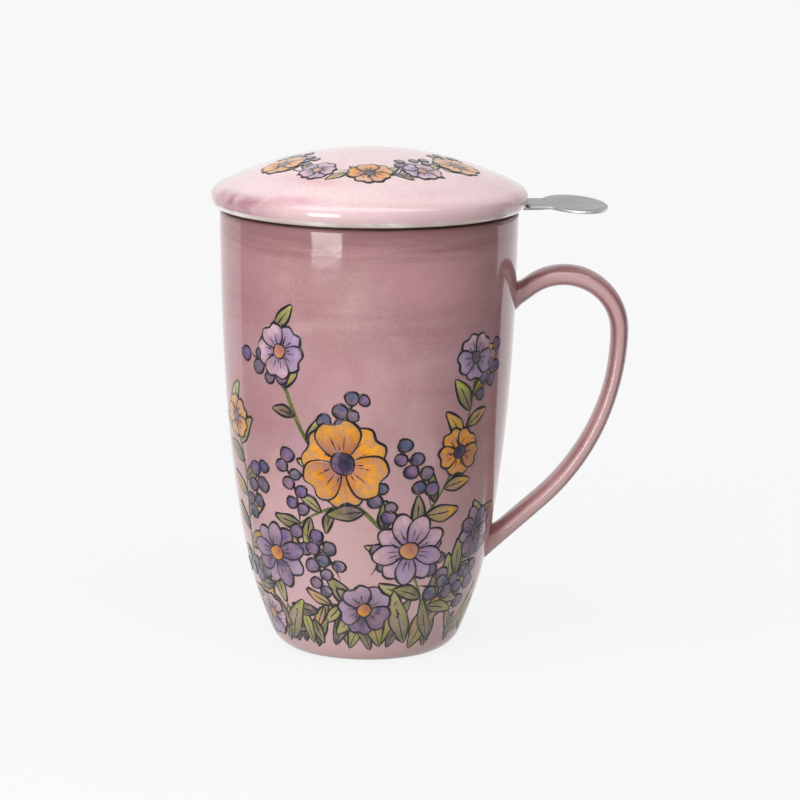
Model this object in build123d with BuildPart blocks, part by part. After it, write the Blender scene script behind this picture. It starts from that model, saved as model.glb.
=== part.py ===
"""Tea mug with a lift-out steel infuser basket and a loose domed lid.

Sizes are in millimetres. The origin is the centre of the foot ring on the table, +Z is up,
and +X points along the mug's handle.
"""

import os
from math import cos, pi, radians, sin, tan

from build123d import *

# Mug body
rim_d = 86.0  # outside of the lip
mug_h = 127.5  # table to lip
wall = 3.8  # thickness of the side wall
floor_t = 5.0  # thickness of the floor
foot_d = 46.4  # outside of the foot ring on the table
foot_w = 4.0  # width of the foot ring
foot_recess = 1.6  # depth of the hollow inside the foot ring
toe_out = 4.6  # swell of the body past the foot ring
toe_h = 5.0  # height of that swell
heel_in = 11.5  # draw-in from the lip at the heel
heel_h = 15.0
belly_in = 4.9  # draw-in from the lip at the belly
belly_h = 46.0
shoulder_in = 0.9  # draw-in from the lip at the shoulder
shoulder_drop = 36.0  # lip down to the shoulder
lip_round = 1.3
floor_round = 8.0  # round between floor and wall, inside
foot_round = 0.8

# Mug handle: places of its centre line, outward from the lip, down from the lip or up from the table
handle_rise_out = 3.2  # start of the upper bend
handle_rise_drop = 22.1
handle_climb = 38.0  # degrees above level at the upper root
handle_reach = 29.4  # outermost place
handle_reach_drop = 35.3
handle_lower_out = 6.8  # end of the long lower bend
handle_lower_h = 42.7
handle_w = 11.5  # across the strap
handle_root_w = 12.5
handle_top_t = 5.2  # thickness of the strap at the upper root
handle_bend_t = 6.1  # thickness over the upper bend
handle_t = 4.9  # thickness past the outermost place
handle_bottom_t = 5.4  # thickness at the lower root

# Infuser basket, drawn and rolled from steel sheet
sheet_t = 0.6  # rim and base cup
sleeve_t = 0.4
flange_inset = 1.0  # lip's edge to the flange's edge
mouth_gap = 0.8  # mug's mouth to the collar
collar_depth = 10.0  # lip down to the basket's neck
basket_gap = 1.4  # mug's belly, inside, to the base cup
basket_lift = 4.9  # belly up to the underside of the base cup
lap_gap = 0.1  # sleeve to the neck and to the cup's wall
neck_l = 5.0  # lap of the neck on the sleeve
cup_l = 5.0  # lap of the cup's wall on the sleeve
bend_round = 0.8  # inside radius of the drawn bends
sleeve_hole_d = 2.0
sleeve_hole_columns = 26
sleeve_hole_rows = 8
sleeve_hole_margin = 3.0  # plain band beside the neck and the cup
seam_w = 6.0  # lengthwise lap of the rolled sleeve
cup_hole_d = 2.0
cup_hole_rings = 3
cup_hole_margin = 5.0  # plain band inside the cup's wall

# Thumb tab, spot welded on a tongue of the flange
tab_turn = 7.0  # degrees from the mug's handle towards +Y
tongue_reach = 5.0  # widest part of the lid to the tongue's end
tongue_w = 12.0
tongue_round = 2.0
tab_t = 0.8
tab_gap = 0.6  # lid's edge to the tab's root
tab_reach = 23.3  # widest part of the lid to the tab's tip
tab_neck_w = 18.0
tab_paddle_w = 35.0
tab_paddle_l = 17.5
tab_waist_round = 8.0
tab_droop = 1.5  # degrees that the paddle bends down
weld_d = 1.5
weld_h = 0.2
weld_across = 8.0  # spacing of the spot welds across the tab
weld_along = 2.2  # spacing of the spot welds along the tab

# Lid
lid_overhang = 2.5  # lip's edge to the widest part of the lid
lid_h = 16.8  # seat to the top of the dome
lid_edge_h = 6.0  # height of the rounded edge
lid_edge_bulge = 2.0  # swell of the edge past the seat
lid_brow_in = 1.3  # widest part in to the dome's edge
lid_widest_h = 3.3  # seat to the widest part
lid_brow_round = 1.5
lid_shell_t = 5.0
ring_gap = 0.7  # infuser's collar to the locating ring
ring_depth = 6.0
ring_t = 3.6
ring_round = 1.0

# Places worked out from the sizes above
rim_r = rim_d / 2
foot_r = foot_d / 2
toe_r = foot_r + toe_out
heel_r = rim_r - heel_in
belly_r = rim_r - belly_in
mouth_r = rim_r - wall
floor_h = foot_recess + floor_t
flange_r = rim_r - flange_inset
collar_r = mouth_r - mouth_gap
cup_r = belly_r - wall - basket_gap
sleeve_r = cup_r - sheet_t - lap_gap
neck_h = mug_h - collar_depth
cup_h = belly_h + basket_lift
sleeve_h = cup_h + sheet_t
sleeve_l = neck_h - sleeve_h
seat_h = mug_h + sheet_t  # the lid stands on the flange here
lid_r = rim_r + lid_overhang
lid_seat_r = lid_r - lid_edge_bulge
lid_brow_r = lid_r - lid_brow_in
ring_r = collar_r - sheet_t - ring_gap
tongue_end = lid_r + tongue_reach
tab_root = lid_r + tab_gap
tab_tip = lid_r + tab_reach

os.makedirs("parts", exist_ok=True)


def body_curve():
    """The mug's outside: an arc off the foot ring, then one sweep up to the lip."""
    side = Spline(
        (toe_r, toe_h),
        (heel_r, heel_h),
        (belly_r, belly_h),
        (rim_r - shoulder_in, mug_h - shoulder_drop),
        (rim_r, mug_h),
    )
    TangentArc((toe_r, toe_h), (foot_r, 0), tangent=side % 0 * -1)


# Mug body: one shell with a foot ring, turned about Z
with BuildPart() as mug_body:
    with BuildSketch(Plane.XZ) as mug_profile:
        with BuildLine():
            body_curve()
            Line((rim_r, mug_h), (mouth_r, mug_h))
            Spline(
                (mouth_r, mug_h),
                (mouth_r - shoulder_in, mug_h - shoulder_drop),
                (belly_r - wall, belly_h),
                (heel_r - wall, heel_h),
                (toe_r - wall, floor_h),
            )
            Polyline(
                (toe_r - wall, floor_h),
                (0, floor_h),
                (0, foot_recess),
                (foot_r - foot_w, foot_recess),
                (foot_r - foot_w, 0),
                (foot_r, 0),
            )
        make_face()
        fillet(mug_profile.vertices().group_by(Axis.Y)[-1], lip_round)
        fillet(mug_profile.vertices().group_by(Axis.Y)[0], foot_round)
        floor_corner = mug_profile.vertices().sort_by_distance((toe_r - wall, floor_h))[0]
        fillet(floor_corner, floor_round)
    revolve(axis=Axis.Z)
mug_body.part.label = "mug_body"
export_step(mug_body.part, "parts/mug_body.step")

# The mug's outer form, filled, which trims the handle's roots to the body's surface
with BuildPart() as mug_form:
    with BuildSketch(Plane.XZ):
        with BuildLine():
            body_curve()
            Polyline((rim_r, mug_h), (0, mug_h), (0, 0), (foot_r, 0))
        make_face()
    revolve(axis=Axis.Z)

# Mug handle: an oval strap, thickest over its upper bend and thinnest past its outermost place
rise = Vector(rim_r + handle_rise_out, 0, mug_h - handle_rise_drop)
reach = Vector(rim_r + handle_reach, 0, mug_h - handle_reach_drop)
lower = Vector(rim_r + handle_lower_out, 0, handle_lower_h)
climb = Vector(cos(radians(handle_climb)), 0, sin(radians(handle_climb)))
with BuildPart() as mug_handle:
    with BuildLine() as handle_line:
        Line(rise - climb * ((rise.X - mouth_r + wall) / climb.X), rise)
        over = TangentArc(rise, reach, tangent=climb)
        back = TangentArc(reach, lower, tangent=over % 1)
        fall = back % 1
        Line(lower, lower + fall * ((lower.X - heel_r + wall) / abs(fall.X)))
    strap = handle_line.wires()[0]
    for place, across, through in (
        (0, handle_root_w, handle_top_t),
        (0.2, handle_w, handle_bend_t),
        (0.5, handle_w, handle_t),
        (1, handle_root_w, handle_bottom_t),
    ):
        with BuildSketch(Plane(strap @ place, x_dir=(0, 1, 0), z_dir=strap % place)):
            Ellipse(across / 2, through / 2)
    sweep(path=strap, multisection=True)
    add(mug_form.part, mode=Mode.SUBTRACT)
mug_handle.part.label = "mug_handle"
export_step(mug_handle.part, "parts/mug_handle.step")

# Infuser rim: flange on the mug's lip, collar in its mouth, neck round the sleeve
tongue_plane = Plane.XY.offset(mug_h).rotated((0, 0, tab_turn))
neck_in = sleeve_r + lap_gap
neck_out = neck_in + sheet_t
with BuildPart() as infuser_rim:
    with BuildSketch(Plane.XZ) as rim_profile:
        with BuildLine():
            Polyline(
                (flange_r, mug_h),
                (collar_r, mug_h),
                (collar_r, neck_h),
                (neck_out, neck_h),
                (neck_out, neck_h - neck_l),
                (neck_in, neck_h - neck_l),
                (neck_in, neck_h + sheet_t),
                (collar_r - sheet_t, neck_h + sheet_t),
                (collar_r - sheet_t, seat_h),
                (flange_r, seat_h),
                close=True,
            )
        make_face()
        for corner in (
            (collar_r, mug_h),
            (collar_r - sheet_t, neck_h + sheet_t),
            (neck_out, neck_h),
        ):
            fillet(rim_profile.vertices().sort_by_distance(corner)[0], bend_round)
        for corner in (
            (collar_r - sheet_t, seat_h),
            (collar_r, neck_h),
            (neck_in, neck_h + sheet_t),
        ):
            fillet(rim_profile.vertices().sort_by_distance(corner)[0], bend_round + sheet_t)
    revolve(axis=Axis.Z)
    with BuildSketch(tongue_plane) as tongue:
        with Locations(((flange_r + tongue_end) / 2 - 1, 0)):
            Rectangle(tongue_end - flange_r + 2, tongue_w)
        fillet(tongue.vertices().group_by(Axis.X)[-1], tongue_round)
    extrude(amount=sheet_t)
infuser_rim.part.label = "infuser_rim"
export_step(infuser_rim.part, "parts/infuser_rim.step")

# Thumb tab: a flat neck on the tongue, hollowed round the lid, and an oval paddle that bends down
tab_plane = tongue_plane.offset(sheet_t)
tab_side = Plane((0, 0, seat_h), x_dir=tab_plane.x_dir, z_dir=tab_plane.y_dir * -1)
paddle_x = tab_tip - tab_paddle_l / 2
tip_drop = (tab_tip - tongue_end) * tan(radians(tab_droop))
with BuildPart() as thumb_tab:
    with BuildSketch(tab_side):
        with BuildLine():
            Polyline(
                (flange_r, 0),
                (tongue_end, 0),
                (tab_tip, -tip_drop),
                (tab_tip, tab_t - tip_drop),
                (tongue_end, tab_t),
                (flange_r, tab_t),
                close=True,
            )
        make_face()
    extrude(amount=tab_paddle_w, both=True)
    with BuildSketch(tab_plane) as tab_plan:
        with Locations(((flange_r + paddle_x) / 2, 0)):
            Rectangle(paddle_x - flange_r, tab_neck_w)
        with Locations((paddle_x, 0)):
            Ellipse(tab_paddle_l / 2, tab_paddle_w / 2)
        corners = tab_plan.vertices().group_by(Axis.X)
        fillet(corners[1], tab_waist_round)
        Circle(tab_root, mode=Mode.SUBTRACT)
    extrude(amount=tip_drop + tab_t, both=True, mode=Mode.INTERSECT)
thumb_tab.part.label = "thumb_tab"
export_step(thumb_tab.part, "parts/thumb_tab.step")

# Spot welds: four low buttons on the tab's neck, over the tongue
with BuildPart() as tab_spot_welds:
    with BuildSketch(tab_plane.offset(tab_t)):
        with Locations(((tab_root + tongue_end) / 2, 0)):
            with GridLocations(weld_along, weld_across, 2, 2):
                Circle(weld_d / 2)
    extrude(amount=weld_h)
tab_spot_welds.part.label = "tab_spot_welds"
export_step(tab_spot_welds.part, "parts/tab_spot_welds.step")

# Infuser sleeve: rolled sheet with a lengthwise lap inside and staggered holes clear of it
column_turn = 360 / sleeve_hole_columns
seam_turn = 180 + tab_turn
plain_turn = (seam_w / 2 + sleeve_hole_d) / sleeve_r * 180 / pi
first_hole_h = sleeve_h + cup_l + sleeve_hole_margin
row_rise = (sleeve_l - cup_l - neck_l - 2 * sleeve_hole_margin) / (sleeve_hole_rows - 1)
hole_places = []
for row in range(sleeve_hole_rows):
    for column in range(sleeve_hole_columns):
        turn = (column + row % 2 / 2) * column_turn
        if plain_turn < turn < 360 - plain_turn:
            ring = Location((0, 0, first_hole_h + row * row_rise), (0, 0, seam_turn + turn))
            hole_places.append(ring * Location((sleeve_r - sleeve_t / 2, 0, 0)))
with BuildPart() as infuser_sleeve:
    with BuildSketch(Plane.XY.offset(sleeve_h)):
        Circle(sleeve_r)
        Circle(sleeve_r - sleeve_t, mode=Mode.SUBTRACT)
    extrude(amount=sleeve_l)
    with BuildSketch(Plane.XY.offset(sleeve_h)):
        Circle(sleeve_r - sleeve_t / 2)
        Circle(sleeve_r - 2 * sleeve_t, mode=Mode.SUBTRACT)
        with Locations(Location((0, 0, 0), (0, 0, seam_turn))):
            Rectangle(2 * sleeve_r, seam_w, align=(Align.MIN, Align.CENTER), mode=Mode.INTERSECT)
    extrude(amount=sleeve_l)
    with Locations(*hole_places):
        Cylinder(sleeve_hole_d / 2, 4 * sleeve_t, rotation=(0, 90, 0), mode=Mode.SUBTRACT)
infuser_sleeve.part.label = "infuser_sleeve"
export_step(infuser_sleeve.part, "parts/infuser_sleeve.step")

# Infuser base cup: a perforated disc with an upturned wall round the sleeve's end
ring_step = (sleeve_r - cup_hole_margin) / cup_hole_rings
with BuildPart() as infuser_base_cup:
    with BuildSketch(Plane.XZ) as cup_profile:
        with BuildLine():
            Polyline(
                (0, cup_h),
                (cup_r, cup_h),
                (cup_r, sleeve_h + cup_l),
                (cup_r - sheet_t, sleeve_h + cup_l),
                (cup_r - sheet_t, sleeve_h),
                (0, sleeve_h),
                close=True,
            )
        make_face()
        fillet(cup_profile.vertices().sort_by_distance((cup_r, cup_h))[0], sheet_t)
    revolve(axis=Axis.Z)
    with BuildSketch(Plane.XY.offset(cup_h)):
        Circle(cup_hole_d / 2)
        for ring_number in range(1, cup_hole_rings + 1):
            with PolarLocations(ring_number * ring_step, 6 * ring_number):
                Circle(cup_hole_d / 2)
    extrude(amount=sheet_t, mode=Mode.SUBTRACT)
infuser_base_cup.part.label = "infuser_base_cup"
export_step(infuser_base_cup.part, "parts/infuser_base_cup.step")

# Lid: a domed shell with a rounded edge and a locating ring that drops into the infuser's collar
top_h = seat_h + lid_h
with BuildPart() as lid:
    with BuildSketch(Plane.XZ) as lid_profile:
        with BuildLine():
            TangentArc((0, top_h), (lid_brow_r, seat_h + lid_edge_h), tangent=(1, 0))
            ThreePointArc(
                (lid_brow_r, seat_h + lid_edge_h),
                (lid_r, seat_h + lid_widest_h),
                (lid_seat_r, seat_h),
            )
            Polyline(
                (lid_seat_r, seat_h),
                (ring_r, seat_h),
                (ring_r, seat_h - ring_depth),
                (ring_r - ring_t, seat_h - ring_depth),
                (ring_r - ring_t, seat_h + lid_edge_h - lid_shell_t),
            )
            TangentArc(
                (0, top_h - lid_shell_t),
                (ring_r - ring_t, seat_h + lid_edge_h - lid_shell_t),
                tangent=(1, 0),
            )
            Line((0, top_h - lid_shell_t), (0, top_h))
        make_face()
        fillet(lid_profile.vertices().group_by(Axis.Y)[0], ring_round)
        brow = lid_profile.vertices().sort_by_distance((lid_brow_r, seat_h + lid_edge_h))[0]
        fillet(brow, lid_brow_round)
    revolve(axis=Axis.Z)
lid.part.label = "lid"
export_step(lid.part, "parts/lid.step")
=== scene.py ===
# %% [markdown]
# # Tea mug with infuser and lid
# A tall slip-cast mug, a steel infuser basket that hangs in its mouth, and a loose domed lid.
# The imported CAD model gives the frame: every piece below is made in place and rides on one of
# its bodies (mug, infuser or lid). Reading on, you will turn profiles on a lathe, sweep a
# handle, punch a sieve, paint a garland on the glaze with thin raised meshes, and light it.

# %% Load the frame
import math
import random

import bpy
import numpy as np
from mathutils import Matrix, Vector
from mathutils.geometry import delaunay_2d_cdt


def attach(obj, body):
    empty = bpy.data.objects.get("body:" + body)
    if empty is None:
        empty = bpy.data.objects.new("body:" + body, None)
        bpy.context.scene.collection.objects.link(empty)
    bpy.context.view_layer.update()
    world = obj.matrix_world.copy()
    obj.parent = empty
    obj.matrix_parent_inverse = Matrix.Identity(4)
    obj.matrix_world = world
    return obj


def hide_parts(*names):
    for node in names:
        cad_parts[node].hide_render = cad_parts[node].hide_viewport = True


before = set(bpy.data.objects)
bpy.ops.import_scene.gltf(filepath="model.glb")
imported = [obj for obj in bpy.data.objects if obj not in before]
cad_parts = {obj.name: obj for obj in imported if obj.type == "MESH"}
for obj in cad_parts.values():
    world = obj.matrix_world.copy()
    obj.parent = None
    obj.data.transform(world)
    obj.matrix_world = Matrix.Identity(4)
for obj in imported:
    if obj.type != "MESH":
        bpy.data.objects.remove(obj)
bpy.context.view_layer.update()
scene = bpy.context.scene
scene.view_settings.view_transform = "Standard"
MM = 0.001
TURN = 2 * math.pi

# %% [markdown]
# ## Camera
# The photograph looks at the mug from a little above its lid, from about a metre away, with a
# long lens. A camera can be matched by eye; here its height, distance and slight roll follow
# from the mug's own upright sides and from how round its lip looks.

# %% Camera
CAMERA_PLACE, CAMERA_AIM = (0.0, -1.0, 0.2694), (0.0093, 0.0, 0.0716)
CAMERA_ROLL = 0.0107
LENS_MM, SENSOR_MM = 158.3, 36.0


def add_object(name, data, place=(0, 0, 0), target=None):
    """Puts an object in the scene. One that has a target is turned to look at it."""
    made = bpy.data.objects.new(name, data)
    scene.collection.objects.link(made)
    made.location = place
    if target is not None:
        sight = Vector(target) - Vector(place)
        made.rotation_euler = sight.to_track_quat("-Z", "Y").to_euler()
    return made


camera_data = bpy.data.cameras.new("photo_camera")
camera_data.sensor_width = SENSOR_MM
camera_data.lens = LENS_MM
scene.camera = add_object("photo_camera", camera_data, CAMERA_PLACE, CAMERA_AIM)
scene.camera.rotation_euler.rotate_axis("Z", CAMERA_ROLL)
print("camera at", CAMERA_PLACE, "looks at", CAMERA_AIM)

# %% [markdown]
# ## Node helpers
# Every finish below is a node tree. Nodes can be wired one call at a time, but then the wiring
# hides the idea. These helpers make a node, set or link its inputs, and hand back a socket, so
# that a finish reads like a sentence.

# %% Node helpers
SOCKET_KINDS = {1: "NodeSocketFloat", 3: "NodeSocketVector", 4: "NodeSocketColor"}


def wire(tree, target, inputs):
    """Gives a node its inputs. One that is a socket is linked, and any other value is set."""
    for key, value in inputs.items():
        if isinstance(value, bpy.types.NodeSocket):
            tree.links.new(value, target.inputs[key])
        else:
            target.inputs[key].default_value = value


def node(tree, kind, inputs=None, **settings):
    made = tree.nodes.new("ShaderNode" + kind)
    for name, value in settings.items():
        setattr(made, name, value)
    wire(tree, made, inputs or {})
    return made


def calc(tree, operation, first, second=0.0, third=0.0, clamp=False):
    inputs = {0: first, 1: second, 2: third}
    return node(tree, "Math", inputs, operation=operation, use_clamp=clamp).outputs[0]


def remap(tree, value, low, high, to_low=0.0, to_high=1.0):
    """Turns the range low to high into to_low to to_high, eased at both ends."""
    inputs = {"Value": value, "From Min": low, "From Max": high, "To Min": to_low, "To Max": to_high}
    return node(tree, "MapRange", inputs, interpolation_type="SMOOTHSTEP").outputs[0]


def blend(tree, factor, first, second, how="MIX"):
    """Mixes two colours. The colour sockets of a Mix node are numbers 6 and 7."""
    inputs = {0: factor, 6: first, 7: second}
    return node(tree, "Mix", inputs, data_type="RGBA", blend_type=how).outputs[2]


def noise(tree, place, scale, detail=2.0, roughness=0.5, distortion=0.0):
    """Noise at a place. A scale that isn't one number has three parts, and stretches the noise."""
    if not isinstance(scale, float):
        place = node(tree, "Mapping", {"Vector": place, "Scale": scale}).outputs[0]
        scale = 1.0
    inputs = {"Vector": place, "Scale": scale, "Detail": detail}
    inputs |= {"Roughness": roughness, "Distortion": distortion}
    return node(tree, "TexNoise", inputs).outputs[0]


def bump(tree, height, depth):
    """A surface direction from a height. Depth is how far it rises, in millimetres."""
    return node(tree, "Bump", {"Height": height, "Distance": depth * MM}).outputs[0]


def own_place(tree):
    """The place on the piece, in metres, which moves with the piece."""
    return node(tree, "TexCoord").outputs["Object"]


def axes_of(tree, place):
    return node(tree, "SeparateXYZ", {0: place}).outputs


def attribute(tree, name):
    return node(tree, "Attribute", attribute_name=name).outputs


def new_group(name, inputs, outputs=("Color",)):
    """A shader node group: its tree, the sockets of its inputs, and its output node."""
    tree = bpy.data.node_groups.new(name, "ShaderNodeTree")
    for title, value in inputs.items():
        kind = SOCKET_KINDS[np.size(value)]
        tree.interface.new_socket(title, in_out="INPUT", socket_type=kind).default_value = value
    for title in outputs:
        kind = SOCKET_KINDS[4 if title == "Color" else 1]
        tree.interface.new_socket(title, in_out="OUTPUT", socket_type=kind)
    print("node group", name)
    return tree, tree.nodes.new("NodeGroupInput").outputs, tree.nodes.new("NodeGroupOutput")


def use_group(tree, group, inputs=None):
    return node(tree, "Group", inputs, node_tree=group).outputs


def new_material(name, **constants):
    """A material with a Principled shader, with constants set on the shader's own sockets."""
    material = bpy.data.materials.new(name)
    material.use_nodes = True
    tree = material.node_tree
    shader = tree.nodes["Principled BSDF"]
    wire(tree, shader, {key.replace("_", " "): value for key, value in constants.items()})
    print("material", name)
    return material, tree, shader


def srgb(*levels):
    """A colour in 0 to 255 screen values, as the linear values that shaders work in."""
    shares = [level / 255 for level in levels]
    return (*(s / 12.92 if s <= 0.04045 else ((s + 0.055) / 1.055) ** 2.4 for s in shares), 1.0)


# %% [markdown]
# ## Stage and light
# The mug stands on white paper, with a broad white sheet behind it. The Light Path node shows the
# paper as an even white to the camera, while its diffuse part still takes the mug's shadow. A
# glossy pot mirrors the table along its edges. To mirror rays the paper glows as a painted
# reflection, brighter behind the mug and close round its foot than in front, so the border between
# them draws the pale bands at the mug's sides. The sheet behind also glows a little by itself,
# which lights the pot's back.

# %% Paper
WHITE = (1, 1, 1, 1)
PAPER_WHITE, PAPER_TONE = 0.938, 0.6
FLOOR_HALF, FLOOR_Z = 4.0, -0.0002
BACK_Y, BACK_HALF, BACK_TOP, BACK_GLOW = 1.6, 2.4, 3.0, 0.7
SHADOW_FAR, SHADOW_NEAR = 0.4, 0.1
SHADOW_SHARE, SHADOW_LIFT = 0.14, 0.07
LIT_LEFT, LIT_RIGHT, UNLIT = 1.12, 1.35, 0.35
LIT_SLOPE, LIT_BORDER, SIDES_BORDER = 0.44, 0.012, 0.05
FOOT_LIT, FOOT_REACH, FOOT_FADE = 1.0, 0.07, 0.04


def kinds_of_ray(tree):
    """1 for a ray from the camera, and 1 for a ray from a mirroring or clear surface."""
    path = node(tree, "LightPath").outputs
    mirror = calc(tree, "MAXIMUM", path["Is Glossy Ray"], path["Is Transmission Ray"])
    return path["Is Camera Ray"], mirror


def paper(name, graded):
    """White paper. Graded paper takes a shadow near the mug, and other paper lights the mug's back."""
    tone = (PAPER_TONE, PAPER_TONE, PAPER_TONE, 1)
    material, tree, shader = new_material(name, Base_Color=tone, Roughness=0.9, Specular_IOR_Level=0.0)
    camera_ray, mirror = kinds_of_ray(tree)
    share = calc(tree, "MAXIMUM", camera_ray, mirror)
    if graded:
        place = node(tree, "NewGeometry").outputs["Position"]
        axes = axes_of(tree, place)
        away = node(tree, "VectorMath", {0: place}, operation="LENGTH").outputs["Value"]
        near = remap(tree, away, SHADOW_FAR, SHADOW_NEAR)
        share = calc(tree, "MULTIPLY_ADD", near, -SHADOW_SHARE, share, clamp=True)
        seen = calc(tree, "MULTIPLY_ADD", near, SHADOW_LIFT, PAPER_WHITE)
        # Painted reflection: to mirror rays the paper glows at LIT_LEFT and LIT_RIGHT behind the mug and
        # round its foot, and at UNLIT in front.
        aside = calc(tree, "ABSOLUTE", axes["X"])
        behind = calc(tree, "MULTIPLY_ADD", aside, -LIT_SLOPE, axes["Y"])
        lit = remap(tree, axes["X"], -SIDES_BORDER, SIDES_BORDER, LIT_LEFT, LIT_RIGHT)
        lit_share = remap(tree, behind, -LIT_BORDER, LIT_BORDER)
        mirrored = remap(tree, lit_share, 0.0, 1.0, UNLIT, lit)
        mirrored = remap(tree, away, FOOT_REACH + FOOT_FADE, FOOT_REACH, mirrored, FOOT_LIT)
        level = remap(tree, mirror, 0.0, 1.0, seen, mirrored)
    else:
        level = remap(tree, share, 0.0, 1.0, BACK_GLOW, PAPER_WHITE)
        share = 1.0
    glow = node(tree, "Emission", {"Color": WHITE, "Strength": level}).outputs[0]
    mixed = node(tree, "MixShader", {0: share, 1: shader.outputs[0], 2: glow}).outputs[0]
    wire(tree, tree.nodes["Material Output"], {"Surface": mixed})
    return material


def paper_sheet(name, half_width, near, far, material):
    """A sheet of paper between two level edges, each given as its (y, z)."""
    corners = [(-half_width, *near), (half_width, *near), (half_width, *far), (-half_width, *far)]
    mesh = bpy.data.meshes.new(name)
    mesh.from_pydata(corners, [], [(0, 1, 2, 3)])
    mesh.materials.append(material)
    return add_object(name, mesh)


front, fold, top = (-FLOOR_HALF, FLOOR_Z), (BACK_Y, FLOOR_Z), (BACK_Y, BACK_TOP)
floor = paper_sheet("paper_floor", FLOOR_HALF, front, fold, paper("floor_paper", True))
backdrop = paper_sheet("paper_backdrop", BACK_HALF, fold, top, paper("backdrop_paper", False))

# %% Room light and soft boxes
ROOM_LEVEL, ROOM_MIRROR_LEVEL = 0.16, 0.2
KEY_TURN, KEY_REACH, KEY_H = math.radians(31.5), 0.58, 0.158
KEY_SIZE, KEY_WATTS = (0.235, 0.283), 1.75
TOP_PLACE, TOP_AIM = (-0.05, -0.3, 0.95), (0.0, 0.0, 0.12)
TOP_SIZE, TOP_WATTS = (1.3, 0.6), 7.5

scene.world = bpy.data.worlds.new("studio")
scene.world.use_nodes = True
room = scene.world.node_tree
camera_ray, mirror = kinds_of_ray(room)
wire(room, room.nodes["Background"], {"Color": WHITE, "Strength": ROOM_LEVEL})
light = room.nodes["Background"].outputs[0]
for ray, level in ((mirror, ROOM_MIRROR_LEVEL), (camera_ray, PAPER_WHITE)):
    other = node(room, "Background", {"Color": WHITE, "Strength": level}).outputs[0]
    light = node(room, "MixShader", {0: ray, 1: light, 2: other}).outputs[0]
wire(room, room.nodes["World Output"], {"Surface": light})


def soft_box(name, place, target, size, watts):
    lamp = bpy.data.lights.new(name, "AREA")
    lamp.shape = "RECTANGLE"
    lamp.size, lamp.size_y = size
    lamp.energy = watts
    add_object(name, lamp, place, target)
    print(name, "of", watts, "watts")


key_place = (-KEY_REACH * math.sin(KEY_TURN), -KEY_REACH * math.cos(KEY_TURN), KEY_H)
soft_box("soft_box_left", key_place, (0.0, 0.0, KEY_H), KEY_SIZE, KEY_WATTS)
soft_box("soft_box_top", TOP_PLACE, TOP_AIM, TOP_SIZE, TOP_WATTS)

# %% [markdown]
# ## Profiles
# A cast mug is round, so one outline turned about its axis makes the body, and another the lid.
# The outline is drawn in runs: a smooth curve through a few measured places, arcs that leave it
# at its own slope, and straight lines. Corners between runs are then eased, because real edges
# catch a line of light.

# %% Curves in the drawing plane
def distances(path):
    """How far along a path each of its points is."""
    return np.concatenate([[0], np.cumsum(np.linalg.norm(np.diff(path, axis=0), axis=1))])


def smooth_curve(places, count):
    """Even points along a natural cubic curve through the given places."""
    places = np.array(places, float)
    steps = np.linalg.norm(np.diff(places, axis=0), axis=1)
    along = distances(places)
    size = len(places)
    system = np.zeros((size, size))
    right = np.zeros_like(places)
    system[0, 0] = system[-1, -1] = 1
    for i in range(1, size - 1):
        system[i, i - 1 : i + 2] = steps[i - 1], 2 * (steps[i - 1] + steps[i]), steps[i]
        right[i] = 6 * ((places[i + 1] - places[i]) / steps[i] - (places[i] - places[i - 1]) / steps[i - 1])
    bend = np.linalg.solve(system, right)
    at = np.linspace(0, along[-1], count)
    span = np.clip(np.searchsorted(along, at, side="right") - 1, 0, size - 2)
    h = steps[span][:, None]
    before = (at - along[span])[:, None]
    after = h - before
    return (
        (bend[span] * after**3 + bend[span + 1] * before**3) / (6 * h)
        + (places[span] / h - bend[span] * h / 6) * after
        + (places[span + 1] / h - bend[span + 1] * h / 6) * before
    )


def tangent_arc(start, heading, end, count):
    """Points of the arc that leaves start along heading and ends at end."""
    start, end = np.array(start, float), np.array(end, float)
    heading = np.array(heading, float) / np.linalg.norm(heading)
    normal = np.array([-heading[1], heading[0]])
    chord = end - start
    radius = chord @ chord / (2 * chord @ normal)
    centre = start + normal * radius
    first = math.atan2(*(start - centre)[::-1])
    turn = math.atan2(*(end - centre)[::-1]) - first
    turn = turn % TURN if radius > 0 else -(-turn % TURN)
    angles = first + np.linspace(0, turn, count)
    return centre + abs(radius) * np.stack([np.cos(angles), np.sin(angles)], axis=1)


def trimmed(run, from_start, from_end):
    """The run without its first and last few millimetres."""
    lengths = distances(run)
    low, high = from_start, lengths[-1] - from_end
    kept = [low] + [length for length in lengths if low + 1e-6 < length < high - 1e-6] + [high]
    return np.stack([np.interp(kept, lengths, run[:, k]) for k in range(2)], axis=1)


def eased_outline(runs, eases, steps=7):
    """Joins runs into one outline, easing the corner after run i by eases[i] millimetres.

    Returns the points, and for each band between two points the number of its run."""
    points, owners = [], []
    runs = [np.array(run, float) for run in runs]
    for i, run in enumerate(runs):
        before = eases[i - 1] if i else 0
        after = eases[i] if i < len(runs) - 1 else 0
        body = trimmed(run, before, after)
        points += list(body if not points or before else body[1:])
        owners += [i] * (len(points) - len(owners))
        if after:
            corner, leave = run[-1], trimmed(runs[i + 1], after, 0)[0]
            for t in np.linspace(0, 1, steps)[1:-1]:
                points.append((1 - t) ** 2 * body[-1] + 2 * t * (1 - t) * corner + t * t * leave)
                owners.append(i)
    return np.array(points), owners[:-1]


# %% Lathe
def ring_steps(count):
    """Each place in a ring of count places, with the next one round."""
    return [(k, (k + 1) % count) for k in range(count)]


def add_mesh(name, verts_mm, faces, materials, face_slots=None):
    """A smooth-shaded mesh object from points in millimetres."""
    mesh = bpy.data.meshes.new(name)
    mesh.from_pydata((np.asarray(verts_mm, float) * MM).tolist(), [], faces)
    for material in materials:
        mesh.materials.append(material)
    if face_slots is not None:
        mesh.polygons.foreach_set("material_index", face_slots)
    mesh.polygons.foreach_set("use_smooth", [True] * len(mesh.polygons))
    mesh.update()
    return add_object(name, mesh)


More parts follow.
